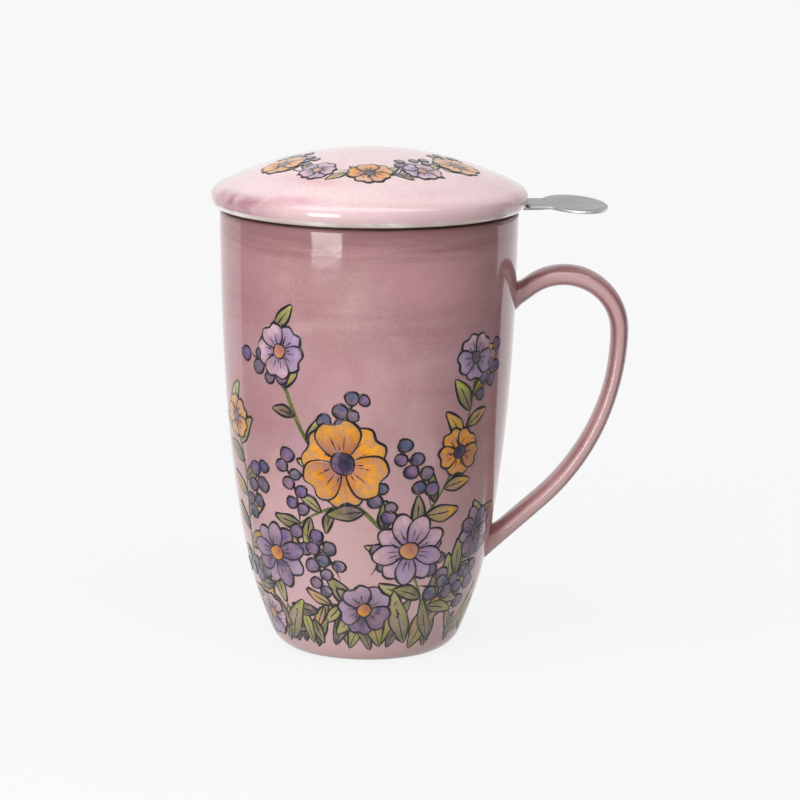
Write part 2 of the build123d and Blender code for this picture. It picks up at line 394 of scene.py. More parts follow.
def turned(outline, owners, segments, closed=False):
    """Points and faces of an outline of (radius, height) turned about Z, and each face's run."""
    verts, rings, faces, runs = [], [], [], []
    angles = np.linspace(0, TURN, segments, endpoint=False)
    for radius, height in outline:
        around = angles if radius > 1e-6 else angles[:1]
        rings.append(range(len(verts), len(verts) + len(around)))
        verts += [(radius * math.cos(a), radius * math.sin(a), height) for a in around]
    pairs = list(zip(rings, rings[1:], owners))
    if closed:
        pairs.append((rings[-1], rings[0], owners[-1]))
    for low, high, owner in pairs:
        for k, n in ring_steps(segments):
            corners = [low[k % len(low)], low[n % len(low)], high[n % len(high)], high[k % len(high)]]
            faces.append(tuple(dict.fromkeys(corners)))
            runs.append(owner)
    return verts, faces, runs


def tube_faces(rings, count):
    """Faces round a tube of rings of count points each, and over its two ends."""
    faces = []
    for i in range(rings - 1):
        for k, n in ring_steps(count):
            faces.append((i * count + k, (i + 1) * count + k, (i + 1) * count + n, i * count + n))
    size = rings * count
    return faces + [tuple(range(count)), tuple(range(size - 1, size - count - 1, -1))]


def settle(piece, body, slot, *nodes):
    """Seats a piece on its CAD body and hides the CAD nodes it stands for. The slot is not used."""
    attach(piece, body)
    if nodes:
        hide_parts(*nodes)
    print(piece.name, "on", body, "faces", len(piece.data.polygons))


# %% [markdown]
# ## Ceramic finishes
# The clay is white. Pink underglaze is brushed on by hand, so its colour gathers in soft blotches
# and in strokes that run round the pot, and the band at the lip got a second, darker coat. The
# wash is also made paler towards the foot, partly a thinner wash and partly painted light for the
# shaded lower body, and a thin dark line along the lip's top is painted shade for the gap under
# the lid. A clear glaze covers all of it. Node groups hold what the mug, the handle, the lid and
# the painting share: the brushed wash, the slight ripple of a clear glaze, and the stains of a
# full brush, which on the mug also carry painted shade and light.

# %% Brushed wash group
PINK, ROUND_STROKES = (0.5, 0.3, 0.3, 1), (14.0, 14.0, 150.0)

tree, given, result = new_group(
    "brushed_wash",
    {
        "Wash": PINK,
        "Deep": PINK,
        "Pale": PINK,
        "Deep Amount": 0.5,
        "Pale Amount": 0.5,
        "Stroke Scale": ROUND_STROKES,
    },
)
place = own_place(tree)
blotches = noise(tree, place, 26.0, detail=3.0, roughness=0.55, distortion=0.6)
strokes = noise(tree, place, given["Stroke Scale"], detail=4.0, roughness=0.6, distortion=0.5)
gathered = calc(tree, "ADD", remap(tree, blotches, 0.42, 0.68), remap(tree, strokes, 0.48, 0.72))
deep_mask = calc(tree, "MULTIPLY", gathered, given["Deep Amount"], clamp=True)
thin_mask = calc(tree, "MULTIPLY", remap(tree, blotches, 0.5, 0.3), given["Pale Amount"])
tint = blend(tree, thin_mask, given["Wash"], given["Pale"])
tint = blend(tree, deep_mask, tint, given["Deep"])
speck = remap(tree, noise(tree, place, 1500.0, detail=1.0), 0.3, 0.7, 0.93, 1.05)
wire(tree, result, {"Color": blend(tree, 1.0, tint, speck, "MULTIPLY")})
wash_group = tree


def washed(tree, wash, deep, pale, deep_amount, pale_amount, stroke_scale=ROUND_STROKES):
    """The colour of a brushed wash, with the places where it gathered and where it is thin."""
    inputs = {"Wash": wash, "Deep": deep, "Pale": pale, "Stroke Scale": stroke_scale}
    inputs |= {"Deep Amount": deep_amount, "Pale Amount": pale_amount}
    return use_group(tree, wash_group, inputs)["Color"]


# %% Glaze ripple group
FINE_SHARE, LAYER_SHARE = 0.08, 0.22

tree, _, result = new_group("glaze_ripple", {}, ("Height", "Roughness"))
place = own_place(tree)
ripple = calc(tree, "MULTIPLY_ADD", noise(tree, place, 420.0), FINE_SHARE, noise(tree, place, 70.0))
layers = noise(tree, place, (110.0, 110.0, 430.0))
ripple = calc(tree, "MULTIPLY_ADD", layers, LAYER_SHARE, ripple)
dulling = noise(tree, place, 160.0, detail=3.0, roughness=0.6)
wire(tree, result, {"Height": ripple, "Roughness": remap(tree, dulling, 0.3, 0.7, 0.04, 0.1)})
ripple_group = tree


def glazed(name, tint_of, depth=0.05):
    """A material under a clear glaze. A function gives its colour, and depth is the ripple's in mm."""
    material, tree, shader = new_material(name, IOR=1.5)
    ripple = use_group(tree, ripple_group)
    normal = bump(tree, ripple["Height"], depth)
    wire(tree, shader, {"Base Color": tint_of(tree), "Roughness": ripple["Roughness"], "Normal": normal})
    return material


# %% Stain group
tree, given, result = new_group("brushed_stain", {"Ground": PINK})
stain = attribute(tree, "stain")
uneven = noise(tree, own_place(tree), 110.0, detail=4.0, roughness=0.6, distortion=0.7)
cover = calc(tree, "MULTIPLY", stain["Alpha"], remap(tree, uneven, 0.3, 0.7, 0.55, 1.35), clamp=True)
wire(tree, result, {"Color": blend(tree, cover, given["Ground"], stain["Color"])})
stain_group = tree

# %% Mug wash group
MUG_WASH, MUG_DEEP, MUG_PALE = srgb(185, 142, 143), srgb(168, 118, 123), srgb(210, 172, 171)
MUG_AMOUNTS = (0.4, 0.8)
FOOT_THIN_WASH_AND_LIGHT, LIP_COAT, LIP_SHADE_LINE = srgb(224, 186, 186), srgb(156, 110, 113), srgb(92, 64, 62)
# Paler towards the foot: partly a thinner wash, partly painted light for the shaded lower body.
PALE_TOP, PALE_LOW, PALE_SHARE = 0.075, 0.02, 0.75
BRUSH_SCALE, BRUSH_RAG = (22.0, 22.0, 300.0), 0.016
COAT_LOW, COAT_HIGH = 0.118, 0.1245
# Painted shade: a thin dark brown line round the lip's top stands in for the shadow in the gap under the
# lid.
LIP_SHADE_LOW, LIP_SHADE_HIGH, LIP_SHADE_SHARE = 0.1268, 0.1274, 0.7

tree, _, result = new_group("mug_wash", {})
place = own_place(tree)
height = axes_of(tree, place)["Z"]
tint = washed(tree, MUG_WASH, MUG_DEEP, MUG_PALE, *MUG_AMOUNTS)
# Partly painted light: the wash turns paler towards the foot.
tint = blend(tree, remap(tree, height, PALE_TOP, PALE_LOW, 0.0, PALE_SHARE), tint, FOOT_THIN_WASH_AND_LIGHT)
tint = use_group(tree, stain_group, {"Ground": tint})["Color"]
brush_lines = noise(tree, place, BRUSH_SCALE, detail=4.0, roughness=0.65, distortion=0.6)
ragged = calc(tree, "MULTIPLY_ADD", brush_lines, BRUSH_RAG, -BRUSH_RAG / 2)
coat = remap(tree, calc(tree, "ADD", height, ragged), COAT_LOW, COAT_HIGH)
coat = calc(tree, "MULTIPLY", coat, remap(tree, brush_lines, 0.3, 0.65, 0.55, 0.95))
tint = blend(tree, coat, tint, LIP_COAT)
# The painted shade line along the lip's top.
lip_shade = remap(tree, height, LIP_SHADE_LOW, LIP_SHADE_HIGH, 0.0, LIP_SHADE_SHARE)
wire(tree, result, {"Color": blend(tree, lip_shade, tint, LIP_SHADE_LINE)})
mug_wash_group = tree

# %% Lid wash group
LID_WASH, LID_DEEP, LID_PALE = srgb(240, 214, 215), srgb(224, 172, 183), srgb(246, 230, 228)
LID_AMOUNTS, LID_STROKES = (0.18, 0.6), (22.0, 70.0, 40.0)
LID_EDGE, BARE_BAND, BAND_SHADE = srgb(222, 184, 190), srgb(247, 243, 235), srgb(214, 196, 188)
DAB_SCALE, DAB_RISE = (34.0, 34.0, 60.0), 0.0012
EDGE_TOP, EDGE_LOW = 0.1352, 0.1328
BARE_TOP, BARE_LOW = 0.1306, 0.13

tree, _, result = new_group("lid_wash", {})
place = own_place(tree)
height = axes_of(tree, place)["Z"]
dabs = noise(tree, place, DAB_SCALE, detail=3.0, roughness=0.6, distortion=0.8)
tint = washed(tree, LID_WASH, LID_DEEP, LID_PALE, *LID_AMOUNTS, LID_STROKES)
edge_coat = remap(tree, height, EDGE_TOP, EDGE_LOW)
edge_coat = calc(tree, "MULTIPLY", edge_coat, remap(tree, dabs, 0.35, 0.6, 0.15, 0.6))
tint = blend(tree, edge_coat, tint, LID_EDGE)
tint = use_group(tree, stain_group, {"Ground": tint})["Color"]
bare = remap(tree, calc(tree, "MULTIPLY_ADD", dabs, DAB_RISE, height), BARE_TOP, BARE_LOW)
band_tint = blend(tree, remap(tree, dabs, 0.42, 0.62), BARE_BAND, BAND_SHADE)
wire(tree, result, {"Color": blend(tree, bare, tint, band_tint)})
lid_wash_group = tree

# %% Ceramic materials
HANDLE_WASH, HANDLE_DEEP, HANDLE_PALE = srgb(167, 120, 123), srgb(152, 103, 108), srgb(196, 154, 154)
HANDLE_AMOUNTS, HANDLE_STROKES = (0.55, 0.5), (60.0, 60.0, 60.0)
HANDLE_EDGE, EDGE_FROM, EDGE_TO, THIN_SHARE = srgb(222, 185, 184), 0.005, 0.0058, 0.75
INNER_WASH, INNER_DEEP, INNER_PALE = srgb(236, 232, 224), srgb(226, 219, 208), srgb(242, 240, 234)
INNER_AMOUNTS = (0.35, 0.5)
CLAY_DARK, CLAY_LIGHT = srgb(214, 200, 184), srgb(234, 225, 212)


def handle_tint(tree):
    """The wash of the handle, which is thin along the strap's two edges."""
    tint = washed(tree, HANDLE_WASH, HANDLE_DEEP, HANDLE_PALE, *HANDLE_AMOUNTS, HANDLE_STROKES)
    aside = calc(tree, "ABSOLUTE", axes_of(tree, own_place(tree))["Y"])
    return blend(tree, remap(tree, aside, EDGE_FROM, EDGE_TO, 0.0, THIN_SHARE), tint, HANDLE_EDGE)


def inner_tint(tree):
    return washed(tree, INNER_WASH, INNER_DEEP, INNER_PALE, *INNER_AMOUNTS)


mug_glaze = glazed("mug_pink_glaze", lambda tree: use_group(tree, mug_wash_group)["Color"])
lid_glaze = glazed("lid_pale_glaze", lambda tree: use_group(tree, lid_wash_group)["Color"], depth=0.04)
handle_glaze = glazed("handle_pink_glaze", handle_tint, depth=0.015)
inner_glaze = glazed("white_inner_glaze", inner_tint, depth=0.03)

bare_clay, tree, shader = new_material("bare_clay", Specular_IOR_Level=0.25)
grain = noise(tree, own_place(tree), 900.0, detail=4.0, roughness=0.7)
clay = {"Base Color": blend(tree, grain, CLAY_DARK, CLAY_LIGHT), "Normal": bump(tree, grain, depth=0.08)}
wire(tree, shader, {**clay, "Roughness": remap(tree, grain, 0.3, 0.7, 0.7, 0.9)})

# %% [markdown]
# ## Mug body
# The mug is slip-cast in a plaster mould: a thin even wall, a rounded lip, and a bare foot ring
# that keeps it from sticking to the kiln shelf. One closed outline turned once gives all of it,
# and each run of the outline gets its own finish.

# %% Mug outline
RIM_R, MUG_H, WALL = 43.0, 127.5, 3.8
FOOT_R, FOOT_W, FOOT_RECESS, FLOOR_H = 23.2, 4.0, 1.6, 6.6
TOE, HEEL, BELLY, SHOULDER = (27.8, 5.0), (31.5, 15.0), (38.1, 46.0), (42.1, 91.5)
LIP_EASE, FOOT_EASE, RECESS_EASE, FOOT_INNER_EASE = 1.5, 0.8, 0.4, 0.5
SEGMENTS = 288
WHITE_RUNS, CLAY_RUNS = {0, 6, 7, 8}, {1, 2}

side = smooth_curve([TOE, HEEL, BELLY, SHOULDER, (RIM_R, MUG_H)], 110)
toe_arc = tangent_arc(TOE, side[0] - side[1], (FOOT_R, 0), 14)[::-1]
inner_side = smooth_curve([(r - WALL, z) for r, z in ((RIM_R, MUG_H), SHOULDER, BELLY, HEEL)], 80)
fall = inner_side[-1] - inner_side[-2]
fall /= np.linalg.norm(fall)
floor_round = (inner_side[-1][1] - FLOOR_H) / (1 - abs(fall[0]))
floor_start = (inner_side[-1][0] - floor_round * abs(fall[1]), FLOOR_H)
foot_in = FOOT_R - FOOT_W
outline, owners = eased_outline(
    [
        [(0, FOOT_RECESS), (foot_in, FOOT_RECESS)],
        [(foot_in, FOOT_RECESS), (foot_in, 0)],
        [(foot_in, 0), (FOOT_R, 0)],
        toe_arc,
        side,
        [(RIM_R, MUG_H), (RIM_R - WALL, MUG_H)],
        inner_side,
        tangent_arc(inner_side[-1], fall, floor_start, 16),
        [floor_start, (0, FLOOR_H)],
    ],
    [RECESS_EASE, FOOT_INNER_EASE, FOOT_EASE, 0, LIP_EASE, LIP_EASE, 0, 0],
)
outside = np.concatenate([toe_arc[:-1], side])


def body_radius(height):
    """Outside radius of the mug at a height, in mm."""
    return np.interp(height, outside[:, 1], outside[:, 0])


verts, faces, runs = turned(outline, owners, SEGMENTS)
zones = [1 if run in WHITE_RUNS else 2 if run in CLAY_RUNS else 0 for run in runs]
mug_shell = add_mesh("mug_shell", verts, faces, [mug_glaze, inner_glaze, bare_clay], zones)
settle(mug_shell, "mug", "mug_glaze", "mug_body")

# %% [markdown]
# ## Handle
# The handle is an oval strap, cast apart and stuck on with slip, which leaves a small fillet at
# both roots. A curve with a bevel would make the strap but not the fillets, so the section is
# swept: rings of points along the centre line, swelling where they come near the wall.

# %% Handle centre line
RISE = np.array([RIM_R + 3.2, MUG_H - 22.1])
REACH = np.array([RIM_R + 29.4, MUG_H - 35.3])
LOWER = np.array([RIM_R + 6.8, 42.7])
CLIMB = np.array([math.cos(math.radians(38)), math.sin(math.radians(38))])
UPPER_ROOT, LOWER_ROOT = 9.0, 20.0

over = tangent_arc(RISE, CLIMB, REACH, 70)
back = tangent_arc(REACH, over[-1] - over[-2], LOWER, 90)
fall = (back[-1] - back[-2]) / np.linalg.norm(back[-1] - back[-2])
upper_root = np.linspace(RISE - CLIMB * UPPER_ROOT, RISE, 20)
lower_root = np.linspace(LOWER, LOWER + fall * LOWER_ROOT, 34)
centre_line = np.concatenate([upper_root[:-1], over[:-1], back[:-1], lower_root])
print("handle centre line of", len(centre_line), "places")

# %% Handle strap
PLACES = (0, 0.2, 0.5, 1)
WIDTHS, THICKS = (12.5, 11.5, 11.5, 12.5), (5.2, 6.1, 4.9, 5.4)
RING, STRAP_SQUARENESS = 40, 2.3
FILLET_SWELL, FILLET_REACH = 0.5, 1.0
BURIED, SINK_STEPS = 1.6, 12

share = distances(centre_line)
share /= share[-1]
headings = np.gradient(centre_line, axis=0)
headings /= np.linalg.norm(headings, axis=1)[:, None]
around = np.linspace(0, TURN, RING, endpoint=False)


def squared_off(wave):
    """A wave with fuller turns, which makes an oval of an ellipse."""
    return np.sign(wave) * np.abs(wave) ** (2 / STRAP_SQUARENESS)


def off_wall(points):
    """How far points stand off the mug's outside, in mm."""
    return np.hypot(points[:, 0], points[:, 1]) - body_radius(points[:, 2])


across, through = squared_off(np.cos(around)), squared_off(np.sin(around))
rings = []
for (x, z), heading, s in zip(centre_line, headings, share):
    width = np.interp(s, PLACES, WIDTHS) / 2
    thick = np.interp(s, PLACES, THICKS) / 2
    out = np.array([-heading[1], 0, heading[0]])
    spoke = across[:, None] * width * np.array([0, 1, 0]) + through[:, None] * thick * out
    ring = np.array([x, 0, z]) + spoke
    swell = FILLET_SWELL * np.exp(-((np.maximum(off_wall(ring), 0) / FILLET_REACH) ** 2))
    rings.append(ring + spoke / np.linalg.norm(spoke, axis=1)[:, None] * swell[:, None])
seen = [i for i, ring in enumerate(rings) if (off_wall(ring) > -BURIED).any()]
rings = np.array(rings[seen[0] : seen[-1] + 1])
for end, heading in ((0, headings[seen[0]]), (-1, -headings[seen[-1]])):
    forward = np.array([heading[0], 0, heading[1]])
    for _ in range(SINK_STEPS):
        rings[end] -= forward * (off_wall(rings[end]) + BURIED)[:, None]
faces = tube_faces(len(rings), RING)
handle_strap = add_mesh("handle_strap", rings.reshape(-1, 3), faces, [handle_glaze])
settle(handle_strap, "mug", "mug_glaze", "mug_handle")

# %% [markdown]
# ## Lid
# The lid is a shallow dome with a bullnose edge. Its seat stays unglazed, which leaves an uneven
# pale band along the bottom of the edge, and a ring underneath drops into the infuser's collar. The
# dome is a single arc of a large circle, so the painting can find its height by a formula.

# %% Lid outline
SEAT_H, LID_R, LID_H, EDGE_H = 128.1, 45.5, 16.8, 6.0
BROW_R, SEAT_R, WIDEST_H = 44.2, 43.5, 3.3
RING_R, RING_T, RING_DEPTH, SHELL_T = 37.1, 3.6, 6.0, 5.0
LID_EASES = [1.4, 0.5, 0.5, 1.0, 1.0, 0.8]
TOP_H = SEAT_H + LID_H
DOME_DROP = LID_H - EDGE_H
DOME_RADIUS = (BROW_R**2 + DOME_DROP**2) / (2 * DOME_DROP)


def lid_height(radius):
    """Height of the lid's dome at a distance from the axis, in mm."""
    return TOP_H - DOME_RADIUS + np.sqrt(DOME_RADIUS**2 - np.asarray(radius) ** 2)


def arc_through(first, middle, last, count):
    """Points of the arc through three places, found with complex numbers."""
    a, b, c = (complex(*place) for place in (first, middle, last))
    ratio = (c - a) / (b - a)
    centre = a + (b - a) * (ratio - abs(ratio) ** 2) / (2j * ratio.imag)
    start, end = (math.atan2((p - centre).imag, (p - centre).real) for p in (a, c))
    points = centre + abs(a - centre) * np.exp(1j * np.linspace(start, end, count))
    return np.stack([points.real, points.imag], axis=1)


dome_r = np.linspace(0, BROW_R, 46)
ring_in, ring_low, brow_h = RING_R - RING_T, SEAT_H - RING_DEPTH, SEAT_H + EDGE_H
outline, owners = eased_outline(
    [
        np.stack([dome_r, lid_height(dome_r)], axis=1),
        arc_through((BROW_R, brow_h), (LID_R, SEAT_H + WIDEST_H), (SEAT_R, SEAT_H), 24),
        [(SEAT_R, SEAT_H), (RING_R, SEAT_H)],
        [(RING_R, SEAT_H), (RING_R, ring_low)],
        [(RING_R, ring_low), (ring_in, ring_low)],
        [(ring_in, ring_low), (ring_in, brow_h - SHELL_T)],
        tangent_arc((0, TOP_H - SHELL_T), (1, 0), (ring_in, brow_h - SHELL_T), 30)[::-1],
    ],
    LID_EASES,
)
verts, faces, runs = turned(outline[::-1], owners[::-1], SEGMENTS)
zones = [0 if run < 2 else 2 if run == 2 else 1 for run in runs]
lid_dome = add_mesh("lid_dome", verts, faces, [lid_glaze, inner_glaze, bare_clay], zones)
settle(lid_dome, "lid", "lid_glaze", "lid")

# %% [markdown]
# ## Steel finish
# The infuser is stainless sheet, brushed to a satin. Brushing leaves fine parallel scratches that
# spread the light across them, and handling leaves faint smudges. One group holds the scratches
# and smudges; each material says which way it was brushed. Cut edges and welds are rough. The cut
# edges of the tongue and tab are near white, a painted highlight, and the edge of the flange is dark
# brown, painted shade for the gap under the lid.

# %% Brushed steel group and materials
GREY, SCRATCH_SHARE, SMUDGE_SHARE = (0.5, 0.5, 0.5, 1), 0.7, 0.3

tree, given, result = new_group(
    "brushed_steel",
    {"Brush Scale": (4000.0, 60.0, 60.0), "Light": GREY, "Dark": GREY},
    ("Color", "Roughness", "Height"),
)
place = own_place(tree)
scratches = noise(tree, place, given["Brush Scale"], detail=3.0, roughness=0.65)
smudges = calc(tree, "MULTIPLY", noise(tree, place, 90.0, detail=3.0, roughness=0.6), SMUDGE_SHARE)
both = calc(tree, "MULTIPLY_ADD", scratches, SCRATCH_SHARE, smudges)
tint = blend(tree, remap(tree, both, 0.3, 0.7), given["Dark"], given["Light"])
rough = remap(tree, both, 0.3, 0.7, 0.42, 0.28)
wire(tree, result, {"Color": tint, "Roughness": rough, "Height": scratches})
steel_group = tree


def steel(name, brush_scale, light, dark, scratch_depth):
    material, tree, shader = new_material(name, Metallic=1.0)
    inputs = {"Brush Scale": brush_scale, "Light": srgb(*light), "Dark": srgb(*dark)}
    finish = use_group(tree, steel_group, inputs)
    normal = bump(tree, finish["Height"], scratch_depth)
    wire(tree, shader, {"Base Color": finish["Color"], "Roughness": finish["Roughness"], "Normal": normal})
    return material


def rough_steel(name, dark, light):
    """Rough steel that mirrors nothing, for welds and edges. Its colour is a painted highlight on the cut
    edges and painted shade on the flange's edge.
    """
    material, tree, shader = new_material(name, Metallic=1.0, Roughness=0.6)
    grain = noise(tree, own_place(tree), 1000.0)
    wire(tree, shader, {"Base Color": blend(tree, grain, srgb(*dark), srgb(*light))})
    return material


sheet_steel = steel("infuser_satin_steel", (70.0, 70.0, 5000.0), (196, 196, 194), (170, 170, 169), 0.004)
tab_steel = steel("tab_brushed_steel", (400.0, 5000.0, 400.0), (153, 154, 154), (139, 140, 140), 0.006)
# Painted highlight: the cut edges of the tongue and tab are near white, brighter than the tab's face, so
# they read as lit lines.
cut_edge_highlight_steel = rough_steel("cut_edge_painted_highlight_steel", (236, 236, 235), (252, 252, 252))
weld_steel = rough_steel("weld_steel", (186, 187, 187), (204, 204, 204))
# Painted shade: the flange's edge is dark brown, for the shadow in the gap between lid and lip.
flange_edge_shade_steel = rough_steel("flange_edge_painted_shade_steel", (66, 56, 50), (92, 80, 74))

# %% [markdown]
# ## Infuser rim
# The basket's rim is drawn from one disc of sheet: a flange that lies on the mug's lip, a collar
# that goes down into the mouth, a step in, and a neck that holds the sleeve. Sheet has two parallel
# skins, so the outline goes down one side and comes back up the other.

# %% Infuser rim
SHEET, FLANGE_R, COLLAR_R = 0.6, 42.0, 38.4
NECK_IN, NECK_OUT, NECK_H, NECK_L = 32.3, 32.9, 117.5, 5.0
CUT_EDGE, BEND, SHEET_STEPS = 0.15, 0.8, 6
OUTER_BEND = BEND + SHEET

corners = [
    (FLANGE_R, MUG_H + SHEET / 2),
    (FLANGE_R, MUG_H),
    (COLLAR_R, MUG_H),
    (COLLAR_R, NECK_H),
    (NECK_OUT, NECK_H),
    (NECK_OUT, NECK_H - NECK_L),
    (NECK_IN, NECK_H - NECK_L),
    (NECK_IN, NECK_H + SHEET),
    (COLLAR_R - SHEET, NECK_H + SHEET),
    (COLLAR_R - SHEET, SEAT_H),
    (FLANGE_R, SEAT_H),
    (FLANGE_R, MUG_H + SHEET / 2),
]
bends = [CUT_EDGE, BEND, OUTER_BEND, BEND, CUT_EDGE, CUT_EDGE, OUTER_BEND, BEND, OUTER_BEND, CUT_EDGE]
outline, owners = eased_outline(list(zip(corners, corners[1:])), bends, SHEET_STEPS)
verts, faces, runs = turned(outline[:-1][::-1], owners[::-1], SEGMENTS, closed=True)
# The flange's outer edge gets the dark painted-shade steel.
flange_edge = (0, len(corners) - 2)
zones = [int(run in flange_edge) for run in runs]
rim_ring = add_mesh("infuser_rim_ring", verts, faces, [sheet_steel, flange_edge_shade_steel], zones)
settle(rim_ring, "infuser", "infuser_steel", "infuser_rim")

# %% [markdown]
# ## Tongue, thumb tab and spot welds
# A tongue of the flange sticks out from under the lid, and a stamped tab is spot welded on it. Both
# are plates whose outline is a width along their length. Each cross-section is a flat oval with
# rounded corners, so the stamped edges catch the light.

# %% Plates along the tab's direction
TAB_TURN = math.radians(7.0)
PLATE_RING, FLAT_TOP, FLAT_SIDE, EDGE_SHARE, ROOT_FADE = 28, 1.3, 1.8, 0.9, 4


def by_tab(x, y, z):
    """A place given along, across and above the tab's direction, as a place on the mug."""
    c, s = math.cos(TAB_TURN), math.sin(TAB_TURN)
    return np.stack(np.broadcast_arrays(x * c - y * s, x * s + y * c, z), axis=-1)


def plate(stations, half_width, bottom, thickness, root_round=0.0):
    """A closed plate, and 1 for each face on its cut edge and 0 for the others.

    The functions give its half width, underside and thickness at a station. A root round hollows
    the first end to an arc of that radius about the mug's axis."""
    angles = np.linspace(0, TURN, PLATE_RING, endpoint=False)
    on_edge = np.abs(np.sin(angles + math.pi / PLATE_RING)) * FLAT_TOP < 1
    rings = []
    for x in stations:
        half, thick = half_width(x), thickness(x)
        edge = min(thick / 2, half) * EDGE_SHARE
        y = np.cos(angles)
        y = np.sign(y) * (half - edge) * np.clip(np.abs(y) * FLAT_SIDE, 0, 1) + edge * y
        z = bottom(x) + thick / 2 + np.clip(np.sin(angles) * FLAT_TOP, -1, 1) * thick / 2
        if root_round:
            hollow = root_round - np.sqrt(root_round**2 - np.minimum(np.abs(y), root_round) ** 2)
            left = (stations[-1] - x) / (stations[-1] - stations[0])
            x = x - hollow * np.clip(left, 0, 1) ** ROOT_FADE
        rings.append(by_tab(x, y, z))
    faces = [face[::-1] for face in tube_faces(len(rings), PLATE_RING)]
    return np.concatenate(rings), faces, on_edge.astype(int).tolist() * (len(rings) - 1) + [1, 1]


# %% Tongue
TONGUE_END, TONGUE_W, TONGUE_ROUND, TONGUE_OVERLAP, ROUND_FROM = 50.5, 12.0, 2.0, 1.0, 0.15
round_start = TONGUE_END - TONGUE_ROUND


def tongue_half(x):
    past = max(0.0, x - round_start)
    return TONGUE_W / 2 - TONGUE_ROUND + math.sqrt(max(TONGUE_ROUND**2 - past**2, 0.0))


straight = np.linspace(FLANGE_R - TONGUE_OVERLAP, round_start, 6)
rounded = round_start + TONGUE_ROUND * np.sin(np.linspace(ROUND_FROM, math.pi / 2, 9))
stations = np.concatenate([straight, rounded])
verts, faces, edges = plate(stations, tongue_half, lambda x: MUG_H, lambda x: SHEET)
rim_tongue = add_mesh("infuser_rim_tongue", verts, faces, [tab_steel, cut_edge_highlight_steel], edges)
settle(rim_tongue, "infuser", "infuser_steel", "infuser_rim")

# %% Thumb tab
TAB_ROOT, TAB_TIP, TAB_T, TIP_ROUND = 46.1, 68.8, 0.8, 0.15
PADDLE_L, PADDLE_HALF, NECK_HALF = 17.5, 17.4, 9.0
PADDLE_X = TAB_TIP - PADDLE_L / 2
TAB_DROOP = math.tan(math.radians(1.5))
WAIST_SOFTNESS, END_GAP = 5, 0.04


def tab_half(x):
    """Half width of the tab: a straight neck that runs softly into an oval paddle."""
    reach = (x - PADDLE_X) / (PADDLE_L / 2)
    oval = PADDLE_HALF * math.sqrt(max(1 - reach**2, 0.0))
    if x > PADDLE_X:
        return oval
    return (NECK_HALF**WAIST_SOFTNESS + oval**WAIST_SOFTNESS) ** (1 / WAIST_SOFTNESS)


def tab_thickness(x):
    """Full thickness, rounded off at the tip."""
    short = 1 - min((TAB_TIP - x) / TIP_ROUND, 1)
    return TAB_T * math.sqrt(max(1 - short**2, 0.0))


def tab_bottom(x):
    droop = TAB_DROOP * max(0.0, x - TONGUE_END)
    return SEAT_H - droop + (TAB_T - tab_thickness(x)) / 2


crowded = (1 - np.cos(np.linspace(END_GAP, math.pi - END_GAP, 120))) / 2
stations = TAB_ROOT + (TAB_TIP - TAB_ROOT) * crowded
verts, faces, edges = plate(stations, tab_half, tab_bottom, tab_thickness, TAB_ROOT)
tab_plate = add_mesh("thumb_tab_plate", verts, faces, [tab_steel, cut_edge_highlight_steel], edges)
settle(tab_plate, "infuser", "tab_steel", "thumb_tab")

# %% Spot welds
WELD_R, WELD_H, WELD_SINK, WELD_ALONG, WELD_ACROSS = 0.75, 0.2, 0.1, 2.2, 8.0

cap = np.linspace(0, math.pi / 2, 7)
button = np.stack([WELD_R * np.cos(cap), WELD_H * np.sin(cap)], axis=1)
button = np.concatenate([[(0, -WELD_SINK), (WELD_R, -WELD_SINK)], button])
button[-1, 0] = 0
button_verts, button_faces, _ = turned(button, [0] * len(button), 24)
verts, faces = [], []
for along in (-WELD_ALONG / 2, WELD_ALONG / 2):
    for aside in (-WELD_ACROSS / 2, WELD_ACROSS / 2):
        centre = by_tab((TAB_ROOT + TONGUE_END) / 2 + along, aside, SEAT_H + TAB_T)
        faces += [tuple(v + len(verts) for v in face) for face in button_faces]
        verts += list(np.array(button_verts) + centre)
weld_buttons = add_mesh("tab_weld_buttons", verts, faces, [weld_steel])
settle(weld_buttons, "infuser", "tab_steel", "tab_spot_welds")

# %% [markdown]
# ## Infuser sleeve and base cup
# Tea leaves stay in because the sleeve is punched with rows of small holes, each row set half a
# step from the next. Holes could be cut with booleans, but more than a thousand of them are slow
# and leave messy meshes. Here each hole is a cell: eight places on a square round an octagon,
# shared with the neighbouring cells, on both skins of the sheet.

# %% Infuser sleeve
SLEEVE_R, SLEEVE_T, SLEEVE_LOW, SLEEVE_HIGH = 32.2, 0.4, 51.5, 117.5
HOLE_R, COLUMNS, ROWS = 0.6, 76, 19
FIRST_ROW, LAST_ROW = 58.5, 110.5
SEAM_TURN, SEAM_HALF = TAB_TURN + math.pi, 3.0
SQUARE = ((-1, -1), (0, -1), (1, -1), (1, 0), (1, 1), (0, 1), (-1, 1), (-1, 0))
SKINS = ((0, 1), (1, -1))

row_rise = (LAST_ROW - FIRST_ROW) / ROWS
half_step = math.pi / COLUMNS
verts, faces, known = [], [], {}


def sleeve_point(turn, z, skin, corner=None):
    """Number of a place on the outer (0) or inner (1) skin, or of a corner of the hole round it."""
    key = (round(turn / half_step * 4) % (COLUMNS * 8), round(z * 1000), skin, corner)
    if key not in known:
        angle, radius = SEAM_TURN + turn, SLEEVE_R - SLEEVE_T * skin
        if corner is not None:
            way = math.radians(225 + 45 * corner)
            angle += HOLE_R * math.cos(way) / SLEEVE_R
            z += HOLE_R * math.sin(way)
        known[key] = len(verts)
        verts.append((radius * math.cos(angle), radius * math.sin(angle), z))
    return known[key]


